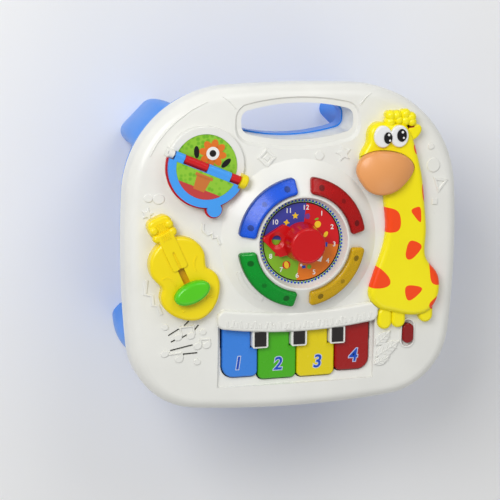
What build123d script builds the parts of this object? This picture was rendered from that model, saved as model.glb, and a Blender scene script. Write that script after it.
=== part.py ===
from build123d import *
import os
from math import atan2, cos, degrees, radians, sin, sqrt

# A toddler's activity table: a domed white tabletop on a blue apron with four plug-in legs.
# The tabletop carries a clock dial with light arcs, a flip book, a guitar with a slider, a giraffe
# with a press nose, piano keys and a power switch. Lengths are in millimetres, z is up, the floor
# is z = 0, the carry handle is on the +y side and x runs to the right.

# Tabletop and case
table_width = 300.0
table_depth = 286.0
side_bow = 10.0
end_bow = 9.0
rear_corner_radius = 96.0
front_corner_radius = 62.0
leg_height = 138.0
apron_height = 16.0
apron_inset = 2.0
apron_edge_radius = 5.0
side_height = 30.0
crown_rise = 8.0
rim_radius = 12.0
wall = 2.5
lip_height = 3.0
lip_wall = 1.6
fit_gap = 0.3
cut_over = 20.0

# Carry handle opening, as shares of the half table for its place
handle_place_shares = (0.0, 0.783)
handle_width = 100.0
handle_depth = 31.6
handle_side_bow = 1.0
handle_end_bow = 7.0
handle_corner_radius = 8.0
handle_dish_margin = 4.0
handle_dish_depth = 3.0
handle_dish_flare = 16.0
handle_step = 1.2

# Screws: long ones close the case, short ones hold what sits on or under the tabletop
case_screw_shares = ((0.45, 0.83), (-0.45, 0.83), (0.88, 0.05), (-0.88, 0.05), (0.35, -0.9), (-0.35, -0.9))
case_boss_radius = 4.6
case_screw_radius = 1.5
case_head_radius = 2.8
case_head_height = 2.0
case_screw_grip = 11.0
case_head_depth = 8.0
screw_radius = 1.3
screw_head_radius = 2.5
screw_head_height = 1.6
screw_play = 0.02
screw_hole_gap = 0.3
boss_radius = 3.4
screw_pad_drop = 4.0

# Legs and their plugs
leg_width = 58.0
leg_depth = 34.0
leg_bow = 9.0
leg_corner_radius = 14.0
leg_wall = 2.6
leg_inset = 23.5
leg_collar_margin = 1.6
leg_collar_height = 7.0
leg_rib = 2.0
leg_section_shares = ((0.0, 0.80, 0.70, 0.45), (0.3, 0.84, 0.78, 1.0), (0.7, 0.93, 0.91, 0.8),
                      (1.0, 1.0, 1.0, 0.0))
leg_rib_share = 0.17
plug_width = 26.0
plug_depth = 13.0
plug_height = 22.0
plug_radius = 3.0
plug_head_room = 1.5

# Dial bezel, light arcs and clock hand
dial_place_shares = (0.0, 0.0664)
bezel_rise = 21.5
bezel_radius = 41.0
bezel_foot_radius = 74.0
bezel_edge_radius = 1.5
dial_radius = 37.1
dial_thickness = 1.5
dial_recess = 8.7
dial_flare = 2.4
lens_inner_radius = 42.6
lens_outer_radius = 56.9
lens_span = 75.0
lens_height = 5.5
lens_corner_radius = 3.0
lens_edge_radius = 2.2
lens_wall = 1.6
lens_seat_gap = 0.15
lens_boss_radius = 2.6
lens_screw_span = 54.0
lens_screw_gap = 0.4
lens_pad_drop = 2.6
led_radius = 2.5
led_flange_radius = 3.1
led_flange = 1.0
led_rise = 2.4
bush_radius = 8.0
bush_drop = 5.5
spindle_radius = 4.0
spindle_gap = 0.06
hand_lift = 0.4
hand_heading = 173.0
hand_reach = 37.0
hand_half_width = 14.4
hand_pointer_height = 4.6
hand_window_radius = 4.3
hand_window_share = 0.63
hand_dish_radius = 7.6
hand_dish_depth = 1.6
hand_outline_shares = ((1.0, 0.0), (0.51, 1.0), (0.14, 0.66), (0.14, -0.66), (0.51, -1.0))
hand_corner_radius = 2.8
hand_knob_radius = 17.4
hand_knob_top_radius = 15.2
hand_knob_height = 21.5
hand_knob_edge_radius = 2.6
hand_wall = 2.2
washer_radius = 7.0
washer_thickness = 1.6

# Piano: ledge, well, keys and black inserts
key_pitch = 35.1
key_outer_width = 32.1
key_gap = 0.8
key_front_share = -0.774
key_pivot_share = -0.42
key_top_rise = 2.5
key_height = 10.5
key_wall = 2.0
key_corner_radius = 5.0
key_end_radius = 10.0
key_edge_radius = 1.6
key_middle_extra = 3.3
key_sleeve_radius = 3.2
pivot_radius = 1.5
pivot_gap = 0.06
pivot_drop = 5.5
well_margin = 4.2
well_front = 5.6
well_rear = 4.0
well_floor_drop = 1.0
opening_margin = 1.3
tongue_width = 14.2
tongue_shift = 1.0
tongue_length = 26.5
tongue_front_share = -0.592
tongue_rise = 4.5
tongue_thickness = 10.0
tongue_radius = 2.0
tongue_play = 0.5
insert_width = 10.4
insert_length = 12.8
insert_margin = 1.6
insert_depth = 2.0
insert_rise = 0.8
bracket_width = 8.0
bracket_depth = 7.0
bracket_drop = 4.5
end_bracket_width = 3.2
ledge_half_width = 73.0
ledge_front_share = -0.455
ledge_width = 17.5
ledge_bow = 6.3
ledge_rise = 10.0
ledge_under = 4.0
ledge_corner_radius = 7.0
ledge_edge_radius = 2.6
key_board_drop = 18.0
key_board_thickness = 1.6
key_board_depth = 12.0
key_board_margin = 9.0
key_stub_radius = 2.5
key_stub_share = 0.74
key_stub_drop = 13.5
pad_radius = 5.0
pad_height = 3.4

# Guitar and its slider
guitar_place_shares = (-0.647, -0.21)
guitar_tilt = 24.0
guitar_half_width = 26.0
guitar_rise = 14.0
guitar_wall = 2.2
guitar_edge_radius = 3.4
guitar_outline_shares = (
    (0.0, -1.0), (0.36, -0.91), (0.86, -0.46), (1.03, 0.03), (0.94, 0.33), (0.82, 0.52), (0.86, 0.72),
    (0.94, 0.96), (0.93, 1.22), (0.78, 1.56), (0.36, 1.87), (0.0, 1.94))
neck_half_width = 6.9
neck_low_share = 0.88
neck_high_share = 2.2
neck_rise = 1.6
neck_groove_width = 1.8
neck_groove_share = 1.5
head_half_width = 10.9
head_low_share = 2.05
head_high_share = 2.73
head_drop = 1.5
head_corner_radius = 7.0
head_edge_radius = 3.0
peg_radius = 3.8
peg_rise = 2.8
peg_shares = ((0.28, 2.12), (-0.28, 2.12), (0.27, 2.4), (-0.27, 2.4))
slot_width = 5.6
slider_place_share = 0.03
slider_travel = 19.0
slider_half_length = 16.3
slider_half_width = 9.0
slider_lift = 2.0
slider_height = 7.4
slider_edge_radius = 3.6
stem_width = 5.0
stem_length = 6.4
carriage_width = 15.0
carriage_length = 13.0
carriage_thickness = 2.0
slider_board_width = 14.0
slider_board_thickness = 1.2
slider_board_gap = 0.5
slider_post_radius = 2.6
guitar_screw_shares = (-0.8, 1.54)

# Giraffe, its nose button and eyes
giraffe_corner_shares = (0.34, -0.522)
giraffe_width = 79.4
giraffe_length = 196.7
giraffe_rise = 12.5
giraffe_wall = 2.4
giraffe_edge_radius = 5.0
giraffe_outline_shares = (
    (0.256, 0.938), (0.36, 0.933), (0.5625, 0.919), (0.6375, 0.869), (0.68, 0.813), (0.752, 0.702),
    (0.80, 0.55), (0.82, 0.424), (0.8375, 0.313), (0.95, 0.2576), (0.994, 0.192), (0.9625, 0.126),
    (0.8625, 0.0758), (0.6625, 0.0606), (0.4375, 0.0808), (0.2625, 0.106), (0.1625, 0.1667), (0.1875,
                                                                                              0.227),
    (0.2625, 0.313), (0.331, 0.399), (0.35, 0.49), (0.325, 0.581), (0.2875, 0.6515), (0.1125, 0.722),
    (0.05, 0.803), (0.1125, 0.8485), (0.125, 0.893), (0.172, 0.925))
muzzle_outline_shares = (
    (-0.02, 0.735), (0.06, 0.793), (0.2, 0.813), (0.38, 0.81), (0.55, 0.785), (0.645, 0.737), (0.56, 0.68),
    (0.38, 0.628), (0.2, 0.622), (0.06, 0.66))
muzzle_stem_shares = (0.3, 0.72)
muzzle_rise = 24.0
muzzle_dome_radius = 42.0
muzzle_edge_radius = 4.0
muzzle_wall = 2.0
muzzle_travel = 2.5
muzzle_curb = 3.0
muzzle_gap = 0.5
muzzle_stem_radius = 4.0
horn_lobe_shares = (
    (0.378, 0.966, 0.0605), (0.45, 0.966, 0.0605), (0.474, 0.946, 0.0504), (0.375, 0.938, 0.0605),
    (0.55, 0.971, 0.0605), (0.616, 0.956, 0.0605), (0.627, 0.936, 0.0504), (0.55, 0.942, 0.0605))
horn_stem_share = 0.8
ear_shares = (0.645, 0.887)
ear_length = 18.0
ear_width = 11.5
ear_turn = 40.0
ear_drop = 3.0
ear_edge_radius = 2.0
foot_shares = ((0.365, 0.05), (0.527, 0.054), (0.85, 0.072))
foot_width = 13.0
foot_length = 20.0
foot_drop = 4.0
foot_edge_radius = 3.0
eye_shares = ((0.272, 0.877), (0.46, 0.877))
eye_radius_shares = ((0.1, 0.12), (0.104, 0.12))
eye_height = 3.0
eye_edge_radius = 1.4
eye_seat = 1.0
pupil_shares = ((0.322, 0.872), (0.48, 0.882))
pupil_radius_shares = ((0.047, 0.063), (0.054, 0.069))
pupil_rise = 0.8
pupil_depth = 1.2
giraffe_screw_shares = ((0.57, 0.5), (0.6, 0.16), (0.5, 0.845))
nose_board_length = 32.0
nose_board_width = 16.0
nose_board_drop = 12.0
nose_switch_size = 13.0
nose_switch_height = 5.6
nose_plunger_radius = 2.5
nose_plunger_rise = 1.6
nose_post_share = 0.36

# Flip book
book_place_shares = (-0.553, 0.536)
book_turn = -22.9
book_radius = 34.0
book_rise = 8.5
book_rim = 6.5
book_recess = 1.2
book_edge_radius = 1.0
label_thickness = 0.4
label_gap = 0.2
rod_radius = 1.6
rod_gap = 0.06
knuckle_radius = 3.5
knuckle_gap = 0.4
knuckle_end_gap = 0.25
knuckle_shares = (-0.88, -0.62, 0.015, 0.65, 0.91)
page_thickness = 2.8
page_gap = 0.3
page_rim = 6.8
red_page_over = 1.5
page_tab_radius = 6.3
page_tab_shares = (0.57, -0.91)
page_recess = 0.5
page_hinge_gap = 0.7
page_field_gap = 1.0
ear_block_width = 4.5
ear_block_half_depth = 3.6
end_cap_radius = 6.2
end_cap_width = 6.6
end_cap_edge_radius = 2.4
book_screw_shares = ((0.5, 0.45), (-0.5, 0.45))

# Power switch
power_place_shares = (0.688, -0.563)
power_pocket_width = 10.9
power_pocket_depth = 2.5
power_pocket_radius = 5.4
power_knob_length = 18.0
power_knob_height = 5.2
power_play = 0.35
power_edge_radius = 1.2
power_travel = 2.6
power_stem_width = 4.0
power_slot_play = 0.4
switch_length = 22.0
switch_width = 10.0
switch_height = 6.0
switch_gap = 0.4

# Speaker behind the slots
speaker_place_shares = (-0.657, -0.53)
speaker_radius = 24.5
speaker_seat_wall = 3.0
speaker_drop = 5.0
speaker_flange = 1.6
speaker_depth = 8.0
basket_radius = 14.0
basket_wall = 1.2
magnet_radius = 11.0
magnet_height = 4.0
cone_wall = 0.8
grille_slot_width = 1.6
grille_slot_shares = (
    ((-0.1, 0.58), (0.08, 0.76)), ((0.25, 0.39), (0.42, 0.6)), ((-0.66, 0.24),
                                                                (-0.27, 0.48)), ((-0.17, 0.15), (0.01, 0.25)),
    ((-0.57, 0.0), (-0.4, 0.08)), ((-0.59, -0.31), (0.22, -0.13)), ((-0.17, -0.46), (0.39, -0.43)))

# Circuit board in the case
board_place_shares = (0.0, 0.322)
board_width = 92.0
board_depth = 52.0
board_thickness = 1.6
board_drop = 10.0
board_post_shares = (0.826, 0.69)
chip_shares = ((-0.3, 0.2, 0.34, 0.3), (0.45, 0.3, 0.2, 0.4), (0.4, -0.45, 0.36, 0.2),
               (-0.55, -0.45, 0.14, 0.26))
chip_height = 2.4

# Battery box and its door in the underside
battery_place_shares = (0.0, -0.175)
cell_radius = 7.1
cell_length = 49.3
cell_nub_radius = 2.6
cell_nub = 1.2
cell_pitch = 15.2
cell_room = 8.5
battery_headroom = 1.2
battery_wall = 2.0
battery_boss = 10.0
door_margin = 2.5
door_thickness = 2.4
door_gap = 0.3
contact_thickness = 0.5
contact_size = 9.0
contact_bump_radius = 2.2

# Heights and places that follow from the sizes above
half_width = table_width / 2
half_depth = table_depth / 2
parting_height = leg_height + apron_height
rim_height = parting_height + side_height
crown_height = rim_height + crown_rise
dome_radius = (half_width ** 2 + crown_rise ** 2) / (2 * crown_rise)
dome_centre = crown_height - dome_radius
bezel_top = rim_height + bezel_rise
bezel_low = rim_height + crown_rise / 2
dial_floor = bezel_top - dial_recess
dial_top = dial_floor + dial_thickness
bush_low = dial_floor - bush_drop - wall
pad_height_level = rim_height - screw_pad_drop


def place(shares):
    """A place on the table from shares of its half width and half depth."""
    return shares[0] * half_width, shares[1] * half_depth


def post(x, y, low, high, radius):
    """An upright round post between two heights."""
    return Pos(x, y, low) * Cylinder(radius, high - low, align=(Align.CENTER, Align.CENTER, Align.MIN))


def slab(x_low, x_high, y_low, y_high, low, high):
    """An upright block between two corners."""
    corner = (Align.MIN, Align.MIN, Align.MIN)
    return Pos(x_low, y_low, low) * Box(x_high - x_low, y_high - y_low, high - low, align=corner)


def prism(plan, low, high):
    """A flat outline drawn up between two heights."""
    return extrude(Pos(0, 0, low) * plan, high - low, dir=(0, 0, 1))


def ball(rise):
    """The large ball whose top is the domed face, raised or sunk by a distance."""
    return Pos(0, 0, dome_centre) * Rot(90, 0, 0) * Sphere(dome_radius + rise)


def face_height(x, y):
    """Height of the domed face over a place."""
    return dome_centre + sqrt(dome_radius ** 2 - x ** 2 - y ** 2)


def loop(points, inset):
    """A smooth closed outline through points taken anticlockwise, each moved inwards by an inset."""
    moved = []
    for index, (x, y) in enumerate(points):
        before = points[index - 1]
        after = points[(index + 1) % len(points)]
        along_x = after[0] - before[0]
        along_y = after[1] - before[1]
        share = inset / sqrt(along_x ** 2 + along_y ** 2)
        moved.append((x - along_y * share, y + along_x * share))
    return make_face(Spline(moved, periodic=True))


def bowed_outline(width, depth, side_rise, end_rise, rear_radius, front_radius):
    """A rectangle with bowed sides and rounded corners, centred on the origin."""
    right = width / 2 - side_rise
    rear = depth / 2 - end_rise
    sides = [
        ThreePointArc((right, -rear), (width / 2, 0), (right, rear)),
        ThreePointArc((right, rear), (0, depth / 2), (-right, rear)),
        ThreePointArc((-right, rear), (-width / 2, 0), (-right, -rear)),
        ThreePointArc((-right, -rear), (0, -depth / 2), (right, -rear)),
    ]
    plan = make_face(sides)
    plan = fillet([corner for corner in plan.vertices() if corner.Y > 0], rear_radius)
    return fillet([corner for corner in plan.vertices() if corner.Y < 0], front_radius)


def top_edges(part):
    """The edges of a part's highest level."""
    return part.edges().group_by(Axis.Z)[-1]


def screw(x, y, seat, length, radius, head_radius, head_height):
    """A screw driven up from below, its head against a seat."""
    return post(x, y, seat, seat + length, radius) + post(x, y, seat - head_height, seat, head_radius)


def short_screw(x, y, seat, length):
    """One of the short screws."""
    return screw(x, y, seat, length, screw_radius, screw_head_radius, screw_head_height)


def table_plan(inset):
    """The tabletop's outline, drawn in by an inset."""
    return bowed_outline(table_width - 2 * inset, table_depth - 2 * inset, side_bow, end_bow,
                         rear_corner_radius - inset, front_corner_radius - inset)


def handle_plan(margin):
    """The outline of the handle opening, widened by a margin."""
    radius = handle_corner_radius + margin
    return Pos(*place(handle_place_shares)) * bowed_outline(
        handle_width + 2 * margin, handle_depth + 2 * margin, handle_side_bow, handle_end_bow, radius, radius)


case_screw_places = [place(shares) for shares in case_screw_shares]
case_joint = parting_height + lip_height

# Dial group places
dial_x, dial_y = place(dial_place_shares)
lens_middle_radius = (lens_inner_radius + lens_outer_radius) / 2
lens_headings = {"red": 45, "blue": 135, "green": 225, "amber": 315}


def dial_point(radius, heading):
    """A place at a radius and heading from the dial's centre."""
    return dial_x + radius * cos(radians(heading)), dial_y + radius * sin(radians(heading))


bezel_slope = (bezel_top - bezel_low) / (bezel_foot_radius - bezel_radius)
lens_seat = bezel_top - (lens_middle_radius - bezel_radius) * bezel_slope
lens_pad_height = lens_seat - wall - lens_pad_drop
lens_screw_top = lens_seat + lens_height - lens_wall - lens_screw_gap
led_places = [dial_point(lens_middle_radius, heading) for heading in lens_headings.values()]
lens_screw_places = [
    dial_point(lens_middle_radius, heading + side * lens_screw_span / 2)
    for heading in lens_headings.values() for side in (-1, 1)]

# Guitar places
guitar_x, guitar_y = place(guitar_place_shares)
guitar_top = rim_height + guitar_rise
guitar_frame = Pos(guitar_x, guitar_y) * Rot(0, 0, guitar_tilt)
slider_y = slider_place_share * guitar_half_width
slider_board_top = guitar_top - guitar_wall - fit_gap - carriage_thickness - slider_board_gap
slider_board_ends = (slider_y - carriage_length, slider_y + slider_travel + carriage_length)


def guitar_point(x, y):
    """A table place from a place along the guitar."""
    turn = radians(guitar_tilt)
    return guitar_x + x * cos(turn) - y * sin(turn), guitar_y + x * sin(turn) + y * cos(turn)


# Giraffe places
giraffe_x, giraffe_y = place(giraffe_corner_shares)
giraffe_top = rim_height + giraffe_rise


def giraffe_point(shares):
    """A table place from shares of the giraffe's width and length."""
    return giraffe_x + shares[0] * giraffe_width, giraffe_y + shares[1] * giraffe_length


muzzle_x, muzzle_y = giraffe_point(muzzle_stem_shares)
nose_board_top = rim_height - nose_board_drop
nose_post_reach = nose_post_share * nose_board_length

# Book places
book_x, book_y = place(book_place_shares)
book_top = rim_height + book_rise
rod_height = book_top + knuckle_radius + knuckle_gap
book_frame = Pos(book_x, book_y) * Rot(0, 0, book_turn)


def book_point(shares):
    """A table place from shares of the book's radius, along and across its rod."""
    turn = radians(book_turn)
    x = shares[0] * book_radius
    y = shares[1] * book_radius
    return book_x + x * cos(turn) - y * sin(turn), book_y + x * sin(turn) + y * cos(turn)


figure_screw_places = [guitar_point(0, share * guitar_half_width) for share in guitar_screw_shares]
figure_screw_places += [giraffe_point(shares) for shares in giraffe_screw_shares]
figure_screw_places += [book_point(shares) for shares in book_screw_shares]
figure_screw_tops = [guitar_top] * len(guitar_screw_shares) + [giraffe_top] * len(giraffe_screw_shares)
figure_screw_tops += [book_top - book_recess] * len(book_screw_shares)

# Piano places
key_count = 4
key_names = ("blue", "green", "yellow", "red")
key_top = rim_height + key_top_rise
key_front = key_front_share * half_depth
pivot_y = key_pivot_share * half_depth
pivot_height = rim_height - pivot_drop
keys_half_width = (key_count / 2 - 1) * key_pitch + key_outer_width
tongue_places = [(index + 1 - key_count / 2) * key_pitch + tongue_shift for index in range(key_count - 1)]
tongue_front = tongue_front_share * half_depth
well_floor = rim_height - well_floor_drop
well_half_width = keys_half_width + well_margin
well_front_y = key_front - key_middle_extra - well_front
well_rear_y = pivot_y + well_rear
opening_half_width = keys_half_width + opening_margin
key_board_top = rim_height - key_board_drop
key_board_half_width = opening_half_width + key_board_margin
key_stub_y = pivot_y + key_stub_share * (key_front - pivot_y)
key_board_posts = [(side * (opening_half_width + boss_radius + fit_gap), key_stub_y) for side in (-1, 1)]

# Board, speaker and switch places
board_x, board_y = place(board_place_shares)
board_top = rim_height - board_drop
board_posts = [
    (board_x + side * board_post_shares[0] * board_width / 2, board_y
     + end * board_post_shares[1] * board_depth / 2)
    for side in (-1, 1) for end in (-1, 1)]
speaker_x, speaker_y = place(speaker_place_shares)
speaker_seat = rim_height - speaker_drop
power_x, power_y = place(power_place_shares)
power_pocket_length = power_knob_length + 2 * power_travel + 2 * power_play
power_floor = face_height(power_x, power_y) - power_pocket_depth
switch_top = power_floor - wall

# Battery places
battery_x, battery_y = place(battery_place_shares)
battery_half_length = (cell_length + cell_nub + cell_room) / 2
battery_half_width = cell_pitch * 3 / 2 + door_gap * 2
battery_low = leg_height + wall
battery_high = battery_low + 2 * cell_radius + 2 * battery_headroom
door_half_length = battery_half_length + door_margin
door_half_width = battery_half_width + battery_boss
door_screw_reach = battery_half_width + battery_boss / 2
cell_height = battery_low + battery_headroom + cell_radius


def table_block(inset, low):
    """The domed tabletop as a solid block, drawn in on every side by an inset."""
    block = prism(table_plan(inset), low, crown_height + cut_over) & ball(-inset)
    rim = [edge for edge in block.edges() if edge.center().Z > rim_height - side_height / 2]
    return fillet(rim, rim_radius - inset)


def bezel_cone(rise, inset):
    """The cone that the light arcs lie on, raised by a rise and drawn in by an inset."""
    return Pos(dial_x, dial_y, bezel_low + rise - inset) * Cone(
        bezel_foot_radius - inset / 2, bezel_radius - inset / 2, bezel_top - bezel_low,
        align=(Align.CENTER, Align.CENTER, Align.MIN))


def dial_room(margin):
    """The round pit of the dial, flared towards the bezel's crest and widened by a margin."""
    pit = post(dial_x, dial_y, dial_floor - margin, dial_top, dial_radius + margin)
    flare = Pos(dial_x, dial_y, dial_top) * Cone(
        dial_radius + margin, dial_radius + 2 * dial_flare + margin, 2 * (bezel_top - dial_top),
        align=(Align.CENTER, Align.CENTER, Align.MIN))
    return pit + flare


def key_well(margin, drop):
    """The sunk tray that the piano keys stand in."""
    return slab(-well_half_width - margin, well_half_width + margin, well_front_y - margin, well_rear_y
                + margin,
                well_floor - drop, crown_height + cut_over)


def handle_dish(margin):
    """The funnel-shaped room of the dished surround of the handle opening."""
    low = Pos(0, 0, rim_height - margin) * handle_plan(handle_dish_margin + margin)
    high = Pos(0, 0, rim_height + cut_over) * handle_plan(handle_dish_margin + handle_dish_flare + margin)
    return loft([low, high], ruled=True)


def power_pocket(margin, drop):
    """The pocket of the power switch knob."""
    plan = RectangleRounded(power_pocket_width + 2 * margin, power_pocket_length + 2 * margin,
                            power_pocket_radius)
    return prism(Pos(power_x, power_y) * plan, power_floor - drop, crown_height + cut_over)


def ledge():
    """The raised bar over the back of the keys, with the tongues and pivot brackets under it."""
    front = ledge_front_share * half_depth
    rear = front + ledge_width
    reach = ledge_half_width
    band = make_face([
        ThreePointArc((-reach, front), (0, front - ledge_bow), (reach, front)),
        Line((reach, front), (reach, rear)),
        ThreePointArc((reach, rear), (0, rear - ledge_bow), (-reach, rear)),
        Line((-reach, rear), (-reach, front)),
    ])
    band = fillet(band.vertices(), ledge_corner_radius)
    bar = prism(band, rim_height + ledge_under, rim_height + ledge_rise)
    bar = fillet(top_edges(bar), ledge_edge_radius)
    for x in tongue_places:
        plan = Pos(x, tongue_front) * Rectangle(tongue_width, tongue_length,
                                                align=(Align.CENTER, Align.MIN))
        corners = [corner for corner in plan.vertices() if corner.Y < tongue_front + tongue_radius]
        plan = fillet(corners, tongue_radius)
        bar += prism(plan, key_top + tongue_rise - tongue_thickness, key_top + tongue_rise)
        bar += slab(x - bracket_width / 2, x + bracket_width / 2, pivot_y - bracket_depth / 2,
                    pivot_y + bracket_depth / 2, pivot_height - bracket_drop, rim_height + ledge_under + wall)
    for x in tongue_places:
        bar -= insert(x, insert_rise)
    return bar - prism(giraffe_plan(-fit_gap), rim_height, crown_height + cut_over)


def insert(x, rise):
    """One black insert in its tongue, standing proud by a rise."""
    low = tongue_front + insert_margin
    plan = Pos(x, low) * Rectangle(insert_width, insert_length, align=(Align.CENTER, Align.MIN))
    return prism(plan, key_top + tongue_rise - insert_depth, key_top + tongue_rise + rise)


def speaker_slots():
    """The slanted sound slots, each between two places round the speaker's centre."""
    slots = []
    for ends in grille_slot_shares:
        start, end = [(x * speaker_radius, y * speaker_radius) for x, y in ends]
        across = end[0] - start[0]
        along = end[1] - start[1]
        plan = SlotOverall(sqrt(across ** 2 + along ** 2), grille_slot_width,
                           rotation=degrees(atan2(along, across)))
        plan = Pos(speaker_x + (start[0] + end[0]) / 2, speaker_y + (start[1] + end[1]) / 2) * plan
        slots.append(prism(plan, rim_height - cut_over, crown_height + cut_over))
    return slots


def top_shell():
    """The white tabletop: a domed shell with its bezel, handle, well, ledge, bosses and posts."""
    ceiling = crown_height + cut_over
    bezel = bezel_cone(0, 0)
    outer = table_block(0, parting_height) + fillet(top_edges(bezel), bezel_edge_radius)
    dish = handle_dish(0) - ball(-handle_dish_depth)
    outer = outer - dish - key_well(0, 0) - power_pocket(0, 0)
    inner = table_block(wall, parting_height - cut_over) + bezel_cone(0, wall) - dial_room(wall)
    inner = inner - key_well(wall, wall) - power_pocket(wall, wall)
    tube = prism(handle_plan(wall), parting_height, ceiling)
    inner = inner - tube - (handle_dish(wall) - ball(-handle_dish_depth - wall))
    for x, y in case_screw_places:
        inner -= post(x, y, case_joint, ceiling, case_boss_radius)
    for x, y in figure_screw_places:
        inner -= post(x, y, pad_height_level, ceiling, boss_radius)
    for x, y in board_posts:
        inner -= post(x, y, board_top, ceiling, boss_radius)
    for x, y in key_board_posts:
        inner -= post(x, y, key_board_top, ceiling, boss_radius)
    for side in (-1, 1):
        inner -= post(muzzle_x + side * nose_post_reach, muzzle_y, nose_board_top, ceiling, boss_radius)
    for x, y in led_places + lens_screw_places:
        inner -= post(x, y, lens_pad_height, ceiling, boss_radius)
    inner -= post(dial_x, dial_y, bush_low, ceiling, bush_radius)
    seat = post(speaker_x, speaker_y, speaker_seat, ceiling, speaker_radius)
    inner -= seat - post(speaker_x, speaker_y, speaker_seat, ceiling, speaker_radius - speaker_seat_wall)
    shell = outer - inner
    shell -= slab(-opening_half_width, opening_half_width, tongue_front, well_rear_y - opening_margin,
                  rim_height - cut_over, well_floor + wall)
    for index in range(key_count):
        shell -= prism(key_plan(index, -opening_margin)[0], rim_height - cut_over, well_floor + wall)
    shell += ledge()
    for side in (-1, 1):
        near = side * (keys_half_width - key_gap / 2 + fit_gap * 2)
        far = near + side * end_bracket_width
        shell += slab(min(near, far), max(near, far), pivot_y - bracket_depth / 2, pivot_y
                      + bracket_depth / 2,
                      pivot_height - bracket_drop, well_floor)
    shell -= pivot_rod(pivot_gap)
    shell -= prism(handle_plan(0), parting_height - cut_over, ceiling)
    shell -= dial_room(0)
    shell -= post(dial_x, dial_y, parting_height, ceiling, spindle_radius + spindle_gap)
    for x, y in led_places:
        shell -= post(x, y, parting_height, ceiling, led_radius + fit_gap / 2)
    for x, y in lens_screw_places:
        shell -= post(x, y, parting_height, ceiling, screw_radius + screw_hole_gap)
    for x, y in figure_screw_places:
        shell -= post(x, y, pad_height_level - cut_over, ceiling, screw_radius + screw_hole_gap)
    for x, y in case_screw_places:
        shell -= post(x, y, parting_height, case_joint + case_screw_grip, case_screw_radius + screw_play)
    for x, y in board_posts:
        shell -= post(x, y, board_top, board_top + 2 * boss_radius, screw_radius + screw_play)
    for x, y in key_board_posts:
        shell -= post(x, y, key_board_top, key_board_top + 2 * boss_radius, screw_radius + screw_play)
    shell -= post(muzzle_x, muzzle_y, parting_height, ceiling, muzzle_stem_radius + fit_gap)
    slot_width_here = power_stem_width + 2 * power_slot_play
    slot_length_here = power_stem_width + 2 * power_travel + 2 * power_slot_play
    slot = Pos(power_x, power_y) * RectangleRounded(slot_width_here, slot_length_here, power_stem_width / 2)
    shell -= prism(slot, parting_height, ceiling)
    for slot in speaker_slots():
        shell -= slot
    for share_y in slider_board_ends:
        x, y = guitar_point(0, share_y)
        shell += post(x, y, face_height(x, y) - wall, slider_board_top - slider_board_thickness,
                      slider_post_radius)
    return shell


def bottom_shell():
    """The blue underside: a shallow tray with leg sockets, battery box, handle tube and screw wells."""
    outer = prism(table_plan(apron_inset), leg_height, parting_height)
    outer = fillet(outer.edges().group_by(Axis.Z)[0], apron_edge_radius)
    inner = prism(table_plan(apron_inset + wall), leg_height + wall, parting_height + cut_over)
    shell = outer - inner
    lip = prism(table_plan(wall + fit_gap), parting_height - wall, case_joint)
    shell += lip - prism(table_plan(wall + fit_gap + lip_wall), leg_height, parting_height + cut_over)
    shell += prism(handle_plan(wall - handle_step), leg_height + wall / 2, parting_height)
    shell -= prism(handle_plan(-handle_step), leg_height - cut_over, parting_height + cut_over)
    for x, y in case_screw_places:
        shell += post(x, y, leg_height + wall / 2, case_joint, case_boss_radius)
    for x, y in case_screw_places:
        shell -= post(x, y, leg_height - cut_over, case_joint, case_screw_radius + screw_hole_gap)
        shell -= post(x, y, leg_height - cut_over, leg_height + case_head_depth, case_head_radius
                      + screw_hole_gap)
    for frame in leg_frames().values():
        socket = RectangleRounded(plug_width + 2 * fit_gap + 2 * wall, plug_depth + 2 * fit_gap + 2 * wall,
                                  plug_radius + fit_gap + wall)
        hollow = RectangleRounded(plug_width + 2 * fit_gap, plug_depth + 2 * fit_gap, plug_radius + fit_gap)
        roof = leg_height + plug_height + plug_head_room
        shell += frame * prism(socket, leg_height + wall / 2, roof + wall)
        shell -= frame * prism(hollow, leg_height - cut_over, roof)
    shell += slab(battery_x - door_half_length - battery_wall, battery_x + door_half_length + battery_wall,
                  battery_y - door_half_width - battery_wall, battery_y + door_half_width + battery_wall,
                  leg_height, battery_high + battery_wall)
    shell -= slab(battery_x - battery_half_length, battery_x + battery_half_length, battery_y
                  - battery_half_width,
                  battery_y + battery_half_width, leg_height - cut_over, battery_high)
    shell -= slab(battery_x - door_half_length, battery_x + door_half_length, battery_y - door_half_width,
                  battery_y + door_half_width, leg_height - cut_over, battery_low)
    for side in (-1, 1):
        shell -= post(battery_x, battery_y + side * door_screw_reach, leg_height, battery_high
                      - battery_wall,
                      screw_radius + screw_play)
    return shell


def leg_frames():
    """Where each leg stands: at a corner, its broad face turned outwards."""
    frames = {}
    for name, side, end in (("front_left", -1, -1), ("front_right", 1, -1), ("rear_left", -1, 1),
                            ("rear_right", 1, 1)):
        radius = rear_corner_radius if end > 0 else front_corner_radius
        reach = (radius - leg_inset) * sqrt(0.5)
        x = side * (half_width - side_bow - radius + reach)
        y = end * (half_depth - end_bow - radius + reach)
        frames[name] = Pos(x, y) * Rot(0, 0, -side * end * 45 if end > 0 else 180 - side * end * 45)
    return frames


def leg_loft(inset, high_drop):
    """A leg's bowed tapering column, drawn in on every side by an inset."""
    column_height = leg_height - leg_collar_height
    sections = []
    for height_share, width_share, depth_share, bow_share in leg_section_shares:
        height = height_share * column_height
        if height_share == 1:
            height -= high_drop
        section = RectangleRounded(width_share * leg_width - 2 * inset, depth_share * leg_depth - 2 * inset,
                                   depth_share * leg_corner_radius - inset)
        sections.append(Pos(0, bow_share * leg_bow, height) * section)
    return loft(sections)


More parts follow.
